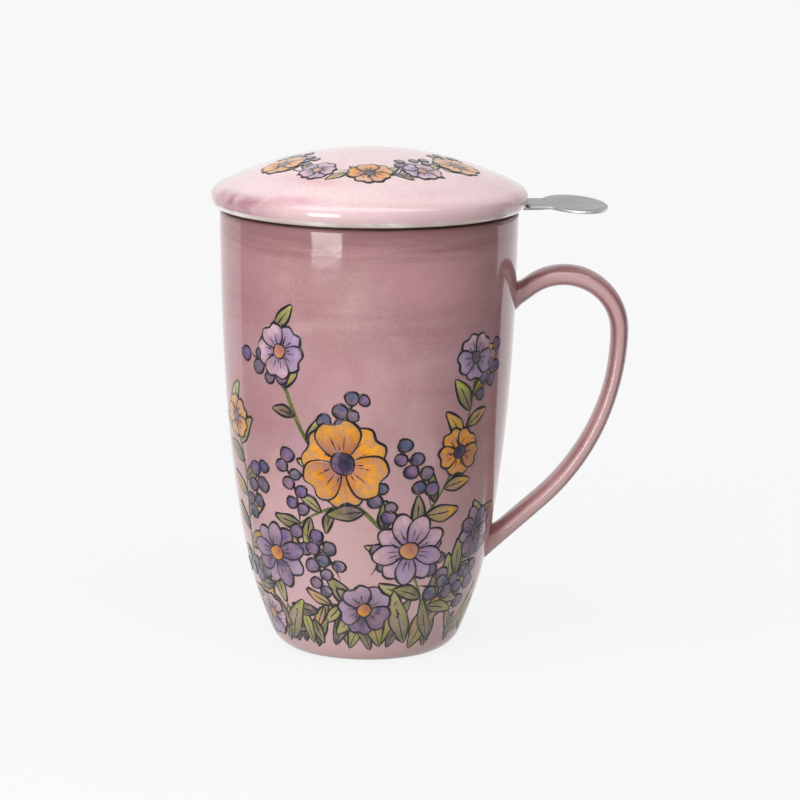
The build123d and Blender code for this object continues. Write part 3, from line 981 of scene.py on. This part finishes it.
holes = 0
for row in range(ROWS):
    z = FIRST_ROW + (row + 0.5) * row_rise
    for column in range(COLUMNS):
        turn = (2 * column + row % 2) * half_step
        off_seam = abs((turn + math.pi) % TURN - math.pi) * SLEEVE_R
        plain = off_seam < SEAM_HALF + 2 * HOLE_R
        for skin, order in SKINS:
            square = [sleeve_point(turn + dx * half_step, z + dz * row_rise / 2, skin) for dx, dz in SQUARE]
            if plain:
                faces.append(tuple(square[::order]))
                continue
            for k, n in ring_steps(8):
                quad = square[k], square[n], sleeve_point(turn, z, skin, n), sleeve_point(turn, z, skin, k)
                faces.append(quad[::order])
        if not plain:
            holes += 1
            for k, n in ring_steps(8):
                wall = ((k, 0), (n, 0), (n, 1), (k, 1))
                faces.append(tuple(sleeve_point(turn, z, skin, i) for i, skin in wall))
for low, high in ((SLEEVE_LOW, FIRST_ROW), (LAST_ROW, SLEEVE_HIGH)):
    for k in range(2 * COLUMNS):
        for skin, order in SKINS:
            quad = ((k, low), (k + 1, low), (k + 1, high), (k, high))
            faces.append(tuple(sleeve_point(i * half_step, z, skin) for i, z in quad)[::order])
for edge, order in ((SLEEVE_LOW, 1), (SLEEVE_HIGH, -1)):
    for k in range(2 * COLUMNS):
        quad = ((k, 1), (k + 1, 1), (k + 1, 0), (k, 0))
        faces.append(tuple(sleeve_point(i * half_step, edge, skin) for i, skin in quad)[::order])
sleeve_wall = add_mesh("infuser_sleeve_wall", verts, faces, [sheet_steel])
settle(sleeve_wall, "infuser", "infuser_steel", "infuser_sleeve")
print("sleeve holes", holes)

# %% Sleeve lap
LAP_DEPTHS = (2.0, 0.9)

lap_angles = SEAM_TURN + np.linspace(-SEAM_HALF, SEAM_HALF, 9) / SLEEVE_R
lap_skins = [SLEEVE_R - depth * SLEEVE_T for depth in LAP_DEPTHS]
verts = [
    (r * math.cos(a), r * math.sin(a), z)
    for z in (SLEEVE_LOW, SLEEVE_HIGH)
    for r in lap_skins
    for a in lap_angles
]
count = len(lap_angles)
faces = []
for k in range(count - 1):
    for a, b in ((0, 2), (3, 1), (1, 0), (2, 3)):
        faces.append((a * count + k + 1, a * count + k, b * count + k, b * count + k + 1))
faces.append((0, count, 3 * count, 2 * count))
faces.append((count - 1, 3 * count - 1, 4 * count - 1, 2 * count - 1))
sleeve_lap = add_mesh("infuser_sleeve_lap", verts, faces, [sheet_steel])
settle(sleeve_lap, "infuser", "infuser_steel", "infuser_sleeve")

# %% Base cup
CUP_R, CUP_H, CUP_L, CUP_SEGMENTS = 32.9, 50.9, 5.0, 192
SIEVE_R, SIEVE_PITCH, SIEVE_OVERLAP = 27.0, 2.6, 0.2
CUP_EASES = [SHEET, CUT_EDGE, CUT_EDGE, 0.05]

cup_in, cup_floor, cup_top = SIEVE_R - SIEVE_OVERLAP, CUP_H + SHEET, CUP_H + SHEET + CUP_L
corners = [
    (cup_in, CUP_H),
    (CUP_R, CUP_H),
    (CUP_R, cup_top),
    (CUP_R - SHEET, cup_top),
    (CUP_R - SHEET, cup_floor),
    (cup_in, cup_floor),
]
outline, owners = eased_outline(list(zip(corners, corners[1:])), CUP_EASES, SHEET_STEPS)
verts, faces, _ = turned(outline, owners, CUP_SEGMENTS, closed=True)
cup_wall = add_mesh("infuser_base_cup_wall", verts, faces, [sheet_steel])
settle(cup_wall, "infuser", "infuser_steel", "infuser_base_cup")

# %% Sieve in the base cup
def ring_of(centre, radius, count):
    angles = np.linspace(0, TURN, count, endpoint=False)
    return [(centre[0] + radius * math.cos(a), centre[1] + radius * math.sin(a)) for a in angles]


loops = [ring_of((0, 0), SIEVE_R, 120)]
reach = int(SIEVE_R / SIEVE_PITCH) + 1
for row in range(-reach, reach + 1):
    for column in range(-reach, reach + 1):
        centre = (SIEVE_PITCH * (column + row % 2 / 2), SIEVE_PITCH * row * math.sqrt(3) / 2)
        if math.hypot(*centre) < SIEVE_R - 2 * HOLE_R:
            loops.append(ring_of(centre, HOLE_R, 8))
flat, edges, loop_of = [], [], []
for number, loop in enumerate(loops):
    first = len(flat)
    flat += [Vector(point) for point in loop]
    edges += [(first + k, first + n) for k, n in ring_steps(len(loop))]
    loop_of += [number] * len(loop)
points, _, triangles, _, _, _ = delaunay_2d_cdt(flat, edges, [], 1, 1e-5)
solid = []
for triangle in triangles:
    around = {loop_of[v] for v in triangle}
    if len(around) > 1 or 0 in around:
        solid.append(tuple(triangle))
size = len(points)
verts = [(p[0], p[1], z) for z in (CUP_H, cup_floor) for p in points]
faces = [tri[::-1] for tri in solid] + [tuple(v + size for v in tri) for tri in solid]
for a, b in edges:
    wall = (a, b, b + size, a + size)
    faces.append(wall if loop_of[a] == 0 else wall[::-1])
cup_sieve = add_mesh("infuser_base_cup_sieve", verts, faces, [sheet_steel])
settle(cup_sieve, "infuser", "infuser_steel", "infuser_base_cup")
print("sieve holes", len(loops) - 1)

# %% [markdown]
# ## Painting tools
# The decorator trails each outline with a dark line that stands up from the surface, and then
# floods it with watery colour. An image texture can't be used here and wouldn't hold a crisp line,
# so the painting is geometry: fills are patches a few hundredths of a millimetre proud of the
# glaze, and lines are low ridges. Both are drawn flat, in millimetres, and laid on the pot.

# %% Sheets that lay a flat drawing on the pot
def mug_sheet(painting, turn, height):
    """A sheet on the mug's side, round a place. Turn is degrees from the front."""
    radius = body_radius(height)

    def lay(points, lift):
        points = np.asarray(points, float)
        z = height + points[:, 1]
        angle = math.radians(turn - 90) + points[:, 0] / radius
        reach = body_radius(z) + lift
        return np.stack([reach * np.cos(angle), reach * np.sin(angle), z], axis=1)

    return painting, lay


def lid_sheet(painting, turn, reach):
    """A sheet on the lid's dome, with the drawing's up towards the middle."""
    angle = math.radians(turn - 90)
    out = np.array([math.cos(angle), math.sin(angle)])
    right = np.array([-out[1], out[0]])

    def lay(points, lift):
        points = np.asarray(points, float)
        plan = out * reach + points[:, :1] * right - points[:, 1:] * out
        return np.column_stack([plan, lid_height(np.hypot(plan[:, 0], plan[:, 1])) + lift])

    return painting, lay


# %% Fills and lines
LAYER, FILL_LIFT, SKIRT = 0.035, 0.02, -0.06
FILL_RINGS, FILL_FADE = (1.0, 0.9, 0.7, 0.4), 1.4
LINE_RIDGE, LINE_STEP, LINE_SWELL, LINE_TAPER = 0.028, 0.9, 0.3, 0.25
LINE_SECTION = ((-1, -1), (-0.6, 0.75), (0, 0.95), (0.6, 0.75), (1, -1), (0, -3))


def new_painting():
    parts = ("fills", "lines")
    return {part: {"verts": [], "faces": [], "flat": [], "paint": [], "pool": []} for part in parts}


def add_ring(coat, points, paint, pool):
    """Adds points to a coat of paint, and returns their numbers."""
    first = len(coat["verts"])
    coat["verts"] += list(points)
    coat["paint"] += list(np.broadcast_to(paint, (len(points), 4)))
    coat["pool"] += [pool] * len(points)
    return range(first, first + len(points))


def add_band(coat, low, high, flat=False):
    for k, n in ring_steps(len(low)):
        face = (low[k], low[n], high[n % len(high)], high[k % len(high)])
        coat["faces"].append(tuple(dict.fromkeys(face)))
        coat["flat"].append(flat)


def flood(sheet, loop, root, near, far, layer, strength):
    """Fills a loop with watery colour that changes from near to far, going away from the root."""
    painting, lay = sheet
    coat = painting["fills"]
    middle = loop.mean(axis=0)
    length = np.linalg.norm(loop - root, axis=1).max()
    near, far = np.array((*near[:3], strength)), np.array((*far[:3], strength))

    def ring(points, lift, pool):
        share = np.clip(np.linalg.norm(points - root, axis=1) / length, 0, 1)[:, None] ** FILL_FADE
        return add_ring(coat, lay(points, lift), near * (1 - share) + far * share, pool)

    lift = FILL_LIFT + LAYER * layer
    edge = ring(loop, SKIRT, 1.0)
    rings = [ring(middle + (loop - middle) * share, lift, share) for share in FILL_RINGS]
    rings.append(ring(middle[None], lift, 0.0))
    base = ring(middle[None], SKIRT, 1.0)
    add_band(coat, edge, rings[0], flat=True)
    for outer, inner in zip(rings, rings[1:]):
        add_band(coat, outer, inner)
    add_band(coat, edge[::-1], base, flat=True)


def spaced(path, closed):
    """The path with points at even steps."""
    path = np.asarray(path, float)
    if closed:
        path = np.vstack([path, path[:1]])
    along = distances(path)
    count = max(4, int(along[-1] / LINE_STEP))
    at = np.linspace(0, along[-1], count, endpoint=not closed)
    return np.stack([np.interp(at, along, path[:, k]) for k in range(2)], axis=1)


def trail(sheet, path, width, hand, layer, closed=False, colour=None):
    """Trails a raised line along a path. An open line thins out at its ends."""
    painting, lay = sheet
    coat = painting["lines"]
    path = spaced(path, closed)
    if closed:
        heading = np.roll(path, -1, axis=0) - np.roll(path, 1, axis=0)
    else:
        heading = np.gradient(path, axis=0)
    heading /= np.linalg.norm(heading, axis=1)[:, None] + 1e-9
    left = np.stack([-heading[:, 1], heading[:, 0]], axis=1)
    share = np.arange(len(path)) / len(path) * TURN
    beats, shift = hand.choice((2, 3)), hand.uniform(0, TURN)
    half = width / 2 * (1 + LINE_SWELL * np.sin(share * beats + shift))
    if not closed:
        half *= np.clip(np.minimum(share, share[::-1]), LINE_TAPER, 1)
    rows = []
    for across, rise in LINE_SECTION:
        lift = LINE_RIDGE * rise + (LAYER * layer if rise > 0 else 0)
        rows.append(lay(path - left * across * half[:, None], lift))
    paint = (*(colour or INK)[:3], 1.0)
    rings = [add_ring(coat, ring, paint, 0.0) for ring in np.stack(rows, axis=1)]
    for here, there in zip(rings, rings[1:] + rings[:1] if closed else rings[1:]):
        add_band(coat, here, there)
    if not closed:
        coat["faces"] += [tuple(rings[0])[::-1], tuple(rings[-1])]
        coat["flat"] += [True, True]


def turned_by(points, angle):
    c, s = math.cos(angle), math.sin(angle)
    return np.asarray(points, float) @ np.array([[c, s], [-s, c]])


def smooth_loop(places, count):
    """A closed curve through the places, in even steps."""
    places = np.array(places, float)
    at = np.linspace(0, len(places), count, endpoint=False)
    i = at.astype(int)
    f = (at - i)[:, None]
    a, b, c, d = (places[(i + k) % len(places)] for k in (-1, 0, 1, 2))
    return b + f / 2 * (c - a + f * (2 * a - 5 * b + 4 * c - d + f * (3 * (b - c) + d - a)))


# %% [markdown]
# ## Motifs
# The garland is built from plain things that any decorator paints: a blossom of a few wide petals,
# a daisy of many narrow ones, a leaf with a midrib, a blade of grass, and round berries. Each is
# drawn a little differently every time, with a seeded random hand, so that no two are copies.

# %% Paint colours
INK = srgb(36, 30, 36)
ORANGE, OCHRE, RUST = srgb(226, 132, 20), srgb(240, 172, 44), srgb(178, 84, 22)
LILAC, PURPLE, PLUM = srgb(190, 164, 196), srgb(122, 98, 150), srgb(78, 58, 98)
NAVY, SLATE = srgb(40, 40, 58), srgb(88, 94, 130)
OLIVE, LIME, MOSS = srgb(142, 142, 62), srgb(190, 188, 92), srgb(92, 102, 50)
BLUSH = srgb(232, 190, 198)
LEAF_TINTS = ((MOSS, LIME), (OLIVE, LIME), (MOSS, OLIVE), (OLIVE, OCHRE), (NAVY, OLIVE))
ORANGES = ((RUST, OCHRE), (ORANGE, OCHRE))
LILACS = ((PURPLE, LILAC), (PURPLE, BLUSH))
PURPLES = ((PLUM, PURPLE), (NAVY, PURPLE), (PLUM, LILAC))
GOLD_HEART, DARK_HEART = (RUST, OCHRE), (NAVY, PLUM)
LINE_W = 0.85
THIN_LINE, TWIG_LINE = LINE_W * 0.6, LINE_W * 0.9
LEAF_PAINT, PETAL_PAINT, DISC_PAINT, DISC_SPOKES = 0.9, 0.92, 0.95, 9


# %% Leaves and berries
def leaf(sheet, root, angle, length, hand, layer, slim=0.2, line=LINE_W):
    """A pointed leaf from its root, with a midrib. Angle 0 points up."""
    root = np.array(root, float)
    half = length * slim * hand.uniform(0.85, 1.15)
    bow = length * hand.uniform(-0.1, 0.1)
    flat = [
        (0, 0),
        (half * 0.8 + bow * 0.4, length * 0.25),
        (half + bow, length * 0.5),
        (half * 0.55 + bow * 0.8, length * 0.8),
        (bow * 0.3, length),
        (-half * 0.6 + bow * 0.8, length * 0.78),
        (-half + bow, length * 0.45),
        (-half * 0.7 + bow * 0.4, length * 0.2),
    ]
    loop = turned_by(smooth_loop(flat, 28), angle) + root
    flood(sheet, loop, root, *hand.choice(LEAF_TINTS), layer, LEAF_PAINT)
    trail(sheet, loop, line, hand, layer, closed=True)
    rib = smooth_curve([(0, 0), (bow * 0.7, length * 0.4), (bow * 0.75, length * 0.72)], 8)
    trail(sheet, turned_by(rib, angle) + root, line * 0.75, hand, layer)


def disc(sheet, centre, radius, near, far, hand, layer):
    spokes = [radius * hand.uniform(0.9, 1.1) for _ in range(DISC_SPOKES)]
    step = TURN / DISC_SPOKES
    flat = [(r * math.cos(k * step), r * math.sin(k * step)) for k, r in enumerate(spokes)]
    loop = smooth_loop(flat, 24) + centre
    flood(sheet, loop, np.array(centre) + radius * 0.35, near, far, layer, DISC_PAINT)
    trail(sheet, loop, TWIG_LINE, hand, layer, closed=True)


def berries(sheet, angle, count, radius, hand, layer=3):
    """A twig with berries on short stalks, on both sides in turn."""
    length = radius * 2.3 * (count / 2 + 1)
    twig = smooth_curve([(0, 0), (length * 0.06, length * 0.5), (-length * 0.05, length)], 16)
    twig = turned_by(twig, angle)
    trail(sheet, twig, TWIG_LINE, hand, layer)
    for number in range(count):
        spot = twig[int((number + 1.2) / (count + 0.6) * (len(twig) - 1))]
        way = angle + (1 if number % 2 else -1) * hand.uniform(0.7, 1.0)
        size = radius * hand.uniform(0.85, 1.15)
        centre = spot + turned_by([(0, size * 1.25)], way)[0]
        disc(sheet, centre, size, hand.choice((SLATE, PURPLE)), NAVY, hand, layer + 1)


# %% Blossoms
WIDE_PETAL, NARROW_PETAL = (0.5, 0.12), (0.3, -0.04)
BLOSSOM_LAYER, RAYS, RAY_STEP = 5, 7, 0.9


def petal(sheet, angle, length, half, tints, hand, layer, notch):
    flat = [
        (0.3 * half, 0.16 * length),
        (0.85 * half, 0.45 * length),
        (0.95 * half, 0.72 * length),
        (0.5 * half, 0.97 * length),
        (0, (1.0 - notch) * length),
        (-0.55 * half, 0.95 * length),
        (-0.97 * half, 0.7 * length),
        (-0.8 * half, 0.42 * length),
        (-0.3 * half, 0.16 * length),
    ]
    loop = turned_by(smooth_loop(flat, 30), angle)
    flood(sheet, loop, np.zeros(2), *tints, layer, PETAL_PAINT)
    trail(sheet, loop, LINE_W, hand, layer, closed=True)
    for lean in (-0.16, 0.14):
        vein = turned_by([(lean * half, 0.3 * length), (2 * lean * half, 0.62 * length)], angle)
        trail(sheet, vein, THIN_LINE, hand, layer)


def blossom(sheet, radius, petals, tints, heart, hand):
    """A flower. A few wide petals make a blossom, and many narrow ones a daisy."""
    start = hand.uniform(0, TURN)
    wide, notch = WIDE_PETAL if petals < 7 else NARROW_PETAL
    for number in range(petals):
        angle = start + TURN * number / petals + hand.uniform(-0.07, 0.07)
        length = radius * hand.uniform(0.92, 1.05)
        half = radius * wide * hand.uniform(0.9, 1.1)
        layer = BLOSSOM_LAYER + number % 2 + (number == petals - 1) / 2
        petal(sheet, angle, length, half, hand.choice(tints), hand, layer, notch)
    disc(sheet, (0, 0), radius * 0.26, *heart, hand, BLOSSOM_LAYER + 2)
    for number in range(RAYS):
        ray = [(radius * 0.3, 0), (radius * hand.uniform(0.4, 0.48), 0)]
        trail(sheet, turned_by(ray, start + number * RAY_STEP), THIN_LINE, hand, BLOSSOM_LAYER + 2)


# %% [markdown]
# ## Garland on the mug
# One trailing stem climbs across the front of the mug and throws side shoots, with leaves all along
# it and grass at its foot; a second garland does the same at the back. Places are given as degrees
# round from the front and millimetres up from the table.

# %% Mug garland
STEMS = (
    ((34, 7), (25, 24), (6, 42), (-14, 56), (-31, 76), (-39, 101)),
    ((14, 36), (31, 50), (43, 70), (47, 90)),
    ((-4, 50), (-24, 45), (-44, 31), (-57, 13)),
    ((29, 16), (46, 25), (61, 44)),
    ((24, 23), (2, 17), (-20, 18), (-33, 9)),
    ((-58, 8), (-66, 30), (-62, 54), (-70, 74)),
)
FLOWERS = (
    (-10, 61, 13.0, 6, ORANGES, DARK_HEART),
    (19, 35, 10.5, 9, LILACS, GOLD_HEART),
    (-36, 92, 8.0, 5, LILACS, GOLD_HEART),
    (46, 90, 7.0, 5, LILACS, DARK_HEART),
    (40, 63, 7.5, 5, ORANGES, DARK_HEART),
    (-45, 32, 9.5, 9, PURPLES, GOLD_HEART),
    (-1, 17, 8.0, 5, PURPLES, GOLD_HEART),
    (57, 38, 7.5, 9, PURPLES, DARK_HEART),
    (-60, 12, 6.5, 5, LILACS, GOLD_HEART),
    (-66, 70, 6.5, 5, ORANGES, DARK_HEART),
)
BERRY_TWIGS = (
    (-24, 68, -0.9, 7), (-33, 80, 0.9, 6), (28, 48, 0.5, 7), (44, 78, -0.8, 6), (-30, 42, 0.2, 7),
    (10, 44, 0.5, 6), (-22, 18, 0.1, 7), (36, 22, 0.3, 6), (26, 24, -1.6, 6), (-50, 22, 1.3, 6),
    (-12, 26, 0.6, 6), (2, 28, -0.4, 6), (48, 14, -0.3, 6), (-64, 40, -0.5, 7),
)
TUFTS, TUFT_H = (-66, -52, -40, -28, -14, 4, 12, 22, 40, 52, 66), 5.0
BLADES, BLADE_LENGTHS, BLADE_SLIM, BLADE_LINE = 3, (9, 19), 0.14, LINE_W * 0.7
STEM_STEPS, LEAF_STEP, LEAF_LENGTHS, STEM_LINE = 40, 3, (7.5, 11.5), LINE_W * 1.5
BERRY_R, GARLAND_H = 1.9, 50.0


def garland(painting, middle, seed, flip=1):
    """One garland, its middle a number of degrees round from the front. Flip -1 mirrors it.

    Neighbours lie on layers of their own, so that no outline shows through another piece."""
    hand = random.Random(seed)
    whole = mug_sheet(painting, middle, GARLAND_H)
    per_degree = math.radians(body_radius(GARLAND_H))
    for tuft, turn in enumerate(TUFTS):
        here = mug_sheet(painting, middle + flip * turn, TUFT_H)
        for blade in range(BLADES):
            root, lean = (hand.uniform(-2.5, 2.5), hand.uniform(-1, 2)), hand.uniform(-0.55, 0.55)
            length, layer = hand.uniform(*BLADE_LENGTHS), blade + tuft % 2 / 2
            leaf(here, root, lean, length, hand, layer, BLADE_SLIM, BLADE_LINE)
    for vine, stem in enumerate(STEMS):
        places = [(flip * turn * per_degree, height - GARLAND_H) for turn, height in stem]
        path = smooth_curve(places, STEM_STEPS)
        trail(whole, path, STEM_LINE, hand, 0, colour=MOSS)
        for number, at in enumerate(range(2, STEM_STEPS, LEAF_STEP)):
            x, y = path[at]
            heading = path[min(at + 1, STEM_STEPS - 1)] - path[at - 1]
            side_lean = (1 if number % 2 else -1) * hand.uniform(0.65, 1.05)
            angle = math.atan2(-heading[0], heading[1]) + side_lean
            here = mug_sheet(painting, middle + x / per_degree, GARLAND_H + y)
            layer = 1.25 + number % 3 + vine % 2 / 2
            leaf(here, (0, 0), angle, hand.uniform(*LEAF_LENGTHS), hand, layer)
    for twig, (turn, height, angle, count) in enumerate(BERRY_TWIGS):
        here = mug_sheet(painting, middle + flip * turn, height)
        berries(here, flip * angle, count, BERRY_R, hand, 3 + twig % 3 / 3)
    for turn, height, *flower in FLOWERS:
        blossom(mug_sheet(painting, middle + flip * turn, height), *flower, hand)


mug_painting = new_painting()
garland(mug_painting, 0.0, 11)
garland(mug_painting, 180.0, 23, -1)
print("mug painting faces", len(mug_painting["fills"]["faces"]), len(mug_painting["lines"]["faces"]))

# %% [markdown]
# ## Wreath on the lid
# The lid carries the same things as an open wreath: a wavy stem half way up the dome that leaves the
# back plain, leaves that point away from its middle, and small blossoms at even steps.

# %% Lid wreath
WREATH_R, WREATH_WAVES, WREATH_SWAY, WREATH_HALF = 26.5, 6, 1.6, 84.0
WREATH_LEAVES, WREATH_LEAF_LENGTHS, WREATH_FLOWERS = 18, (6.0, 8.0), 5
TWIG_ASIDE, TWIG_BERRIES, TWIG_BERRY_R = 18, 4, 1.3
BIG_FLOWER = (6.6, 5, ORANGES, DARK_HEART)
SMALL_FLOWER = (5.6, 5, LILACS, GOLD_HEART)


def wreath_turn(number, count):
    """Degrees round from the front of the middle of one of a count of even steps along the wreath."""
    return WREATH_HALF * ((2 * number + 1) / count - 1)


lid_painting = new_painting()
hand = random.Random(5)
stem = []
for angle in np.radians(np.linspace(-WREATH_HALF, WREATH_HALF, 110)):
    reach = WREATH_R + WREATH_SWAY * math.sin(WREATH_WAVES * angle)
    stem.append((reach * math.sin(angle), -reach * math.cos(angle)))
trail(lid_sheet(lid_painting, 0, 0), stem, LINE_W, hand, 0, colour=MOSS)
for number in range(WREATH_LEAVES):
    turn = wreath_turn(number, WREATH_LEAVES)
    lean = (1 if number % 2 else -1) * hand.uniform(0.6, 0.9) - math.copysign(math.pi / 2, turn)
    here = lid_sheet(lid_painting, turn, WREATH_R)
    leaf(here, (0, 0), lean, hand.uniform(*WREATH_LEAF_LENGTHS), hand, 1 + number % 2)
for number in range(WREATH_FLOWERS):
    turn = wreath_turn(number, WREATH_FLOWERS)
    here = lid_sheet(lid_painting, turn + math.copysign(TWIG_ASIDE, turn), WREATH_R)
    berries(here, hand.uniform(-0.6, 0.6), TWIG_BERRIES, TWIG_BERRY_R, hand)
    flower = SMALL_FLOWER if number % 2 else BIG_FLOWER
    blossom(lid_sheet(lid_painting, turn, WREATH_R), *flower, hand)
print("lid painting faces", len(lid_painting["fills"]["faces"]), len(lid_painting["lines"]["faces"]))

# %% [markdown]
# ## Stains in the wash
# Some of the wash was laid on with a full brush: soft pools of lilac and blush behind the blossoms,
# and broad mauve strokes on plain ground. On the mug a few pools are partly painted light and shade:
# mauve ones darken the body's left and right sides, and pale ones lighten its front middle. They
# have no outline, so a mesh would show its edge.
# Instead each point of the pot stores how much stain it took, and the wash mixes it in.

# %% Stains
def stains_at(turn, up, per_degree, pools):
    """Colour and strength of the stain at places, with the mm that a degree is worth at each."""
    colour, clear = np.zeros((len(turn), 3)), np.ones(len(turn))
    weight = np.full(len(turn), 1e-6)
    for pool_turn, pool_up, half_wide, half_high, tint, strength in pools:
        across = ((turn - pool_turn + 180) % 360 - 180) * per_degree / half_wide
        spread = strength * np.exp(-(across**2) - ((up - pool_up) / half_high) ** 2)
        colour += spread[:, None] * tint[:3]
        weight += spread
        clear *= 1 - spread
    return np.column_stack([colour / weight[:, None], 1 - clear])


def store(piece, name, kind, field, values):
    """Stores values on the points of a piece, for its material to read."""
    layer = piece.data.attributes.new(name, kind, "POINT")
    layer.data.foreach_set(field, np.array(values, float).ravel())


def stain_piece(piece, pools, on_lid):
    """Stores the stain on every point of a piece, painted shade and light among it on the mug. The lid's
    places are measured out from its middle.
    """
    spots = np.empty(len(piece.data.vertices) * 3)
    piece.data.vertices.foreach_get("co", spots)
    x, y, z = spots.reshape(-1, 3).T / MM
    reach = np.hypot(x, y)
    turn = np.degrees(np.arctan2(y, x)) + 90
    stains = stains_at(turn, reach if on_lid else z, np.radians(reach), pools)
    store(piece, "stain", "FLOAT_COLOR", "color", stains)


ROSE, MAUVE, DUSK = srgb(206, 150, 160), srgb(170, 118, 130), srgb(142, 96, 104)
# Painted shade and light, each partly brushed wash: the DUSK and MAUVE pools at turns 52, 40 and -56 darken
# the sides, and the MUG_PALE pools at the front middle lighten it.
mug_pools_and_shade = [
    (52, 92, 9, 42, DUSK, 0.4), (40, 60, 9, 22, MAUVE, 0.35), (-56, 100, 14, 30, MAUVE, 0.4),
    (24, 112, 14, 6, ROSE, 0.5), (12, 96, 12, 5, MAUVE, 0.3), (-8, 86, 16, 5, ROSE, 0.35),
    (-24, 52, 16, 6, ROSE, 0.4), (-2, 76, 18, 9, MUG_PALE, 0.5), (-6, 40, 20, 16, MUG_PALE, 0.5),
]
POOL_DROP, POOL_FLATNESS, POOL_STRENGTH, WREATH_POOL = 2, 0.8, 0.4, (7, 6, BLUSH, 0.5)
pool_hand = random.Random(31)
for middle, flip in ((0, 1), (180, -1)):
    for turn, height, radius, *_ in FLOWERS:
        tint = pool_hand.choice((LILAC, MAUVE, BLUSH, ROSE))
        size = radius * pool_hand.uniform(0.9, 1.4)
        low, flat = height - POOL_DROP, size * POOL_FLATNESS
        mug_pools_and_shade.append((middle + flip * turn, low, size, flat, tint, POOL_STRENGTH))
lid_pools = [
    (-28, 33, 9, 2.2, LID_DEEP, 0.85), (-30, 42.5, 9, 1.6, LID_DEEP, 0.9),
    (-62, 45, 12, 2.0, MAUVE, 0.75), (-44, 44.8, 9, 1.8, MAUVE, 0.6), (30, 38, 10, 2.5, LID_DEEP, 0.35),
    (75, 40, 14, 3.0, LID_DEEP, 0.4), (140, 36, 14, 3.0, LID_DEEP, 0.6), (215, 38, 16, 3.0, LID_DEEP, 0.6),
    (70, 45, 10, 2.0, MAUVE, 0.3), (180, 45, 16, 2.0, MAUVE, 0.5),
]
for number in range(WREATH_FLOWERS):
    lid_pools.append((wreath_turn(number, WREATH_FLOWERS), WREATH_R + 1, *WREATH_POOL))
stain_piece(mug_shell, mug_pools_and_shade, False)
stain_piece(lid_dome, lid_pools, True)
print("stains", len(mug_pools_and_shade), len(lid_pools))

# %% [markdown]
# ## Pigment materials
# Watery pigment lies unevenly: it gathers in a darker rim where the pool dries, is thin in the
# middle, and lets the pink wash under it show. The patch knows its colour and how near its edge a
# point is from two attributes on the mesh. A shared group turns those into a tint, over whichever
# wash lies beneath. The dark lines are a thicker slip under the same clear glaze.

# %% Pigment group
tree, given, result = new_group(
    "watery_pigment", {"Ground": PINK, "Paint": PINK, "Strength": 0.9, "Pool": 0.0}
)
place = own_place(tree)
cloud = noise(tree, place, 260.0, detail=4.0, roughness=0.6, distortion=0.8)
mottle = calc(tree, "MULTIPLY_ADD", noise(tree, place, 900.0, detail=3.0, roughness=0.6), 0.5, cloud)
thin = remap(tree, cloud, 0.3, 0.7, 0.6, 1.12)
cover = calc(tree, "MULTIPLY", given["Strength"], thin, clamp=True)
rim_dark = remap(tree, given["Pool"], 0.55, 0.95, 1.0, 0.78)
rim_dark = calc(tree, "MULTIPLY", rim_dark, remap(tree, mottle, 0.55, 0.95, 0.74, 1.14))
pigment = blend(tree, 1.0, given["Paint"], rim_dark, "MULTIPLY")
wire(tree, result, {"Color": blend(tree, cover, given["Ground"], pigment)})
pigment_group = tree


def pigment_tint(tree, ground_group):
    """Watery pigment over a wash. The mesh gives the colour, its strength and its edge."""
    paint = attribute(tree, "paint")
    inputs = {"Paint": paint["Color"], "Strength": paint["Alpha"], "Pool": attribute(tree, "pool")["Fac"]}
    inputs["Ground"] = use_group(tree, ground_group)["Color"]
    return use_group(tree, pigment_group, inputs)["Color"]


def slip_tint(tree):
    grain = noise(tree, own_place(tree), 500.0, detail=3.0, roughness=0.6)
    mottle = remap(tree, grain, 0.3, 0.7, 0.7, 1.5)
    return blend(tree, 1.0, attribute(tree, "paint")["Color"], mottle, "MULTIPLY")


line_slip = glazed("dark_line_slip", slip_tint, depth=0.03)


# %% Paint the mug and the lid
def paint_on(name, coat, material, body, slot):
    """Makes one coat of paint a mesh that rides with the pot."""
    made = add_mesh(name, coat["verts"], coat["faces"], [material])
    made.data.polygons.foreach_set("use_smooth", [not flat for flat in coat["flat"]])
    store(made, "paint", "FLOAT_COLOR", "color", coat["paint"])
    store(made, "pool", "FLOAT", "value", coat["pool"])
    settle(made, body, slot)
    return made


mug_pigment = glazed("mug_pigment", lambda tree: pigment_tint(tree, mug_wash_group))
lid_pigment = glazed("lid_pigment", lambda tree: pigment_tint(tree, lid_wash_group))
mug_fills = paint_on("mug_painting_fills", mug_painting["fills"], mug_pigment, "mug", "mug_glaze")
stain_piece(mug_fills, mug_pools_and_shade, False)
paint_on("mug_painting_lines", mug_painting["lines"], line_slip, "mug", "mug_glaze")
lid_fills = paint_on("lid_painting_fills", lid_painting["fills"], lid_pigment, "lid", "lid_glaze")
stain_piece(lid_fills, lid_pools, True)
paint_on("lid_painting_lines", lid_painting["lines"], line_slip, "lid", "lid_glaze")
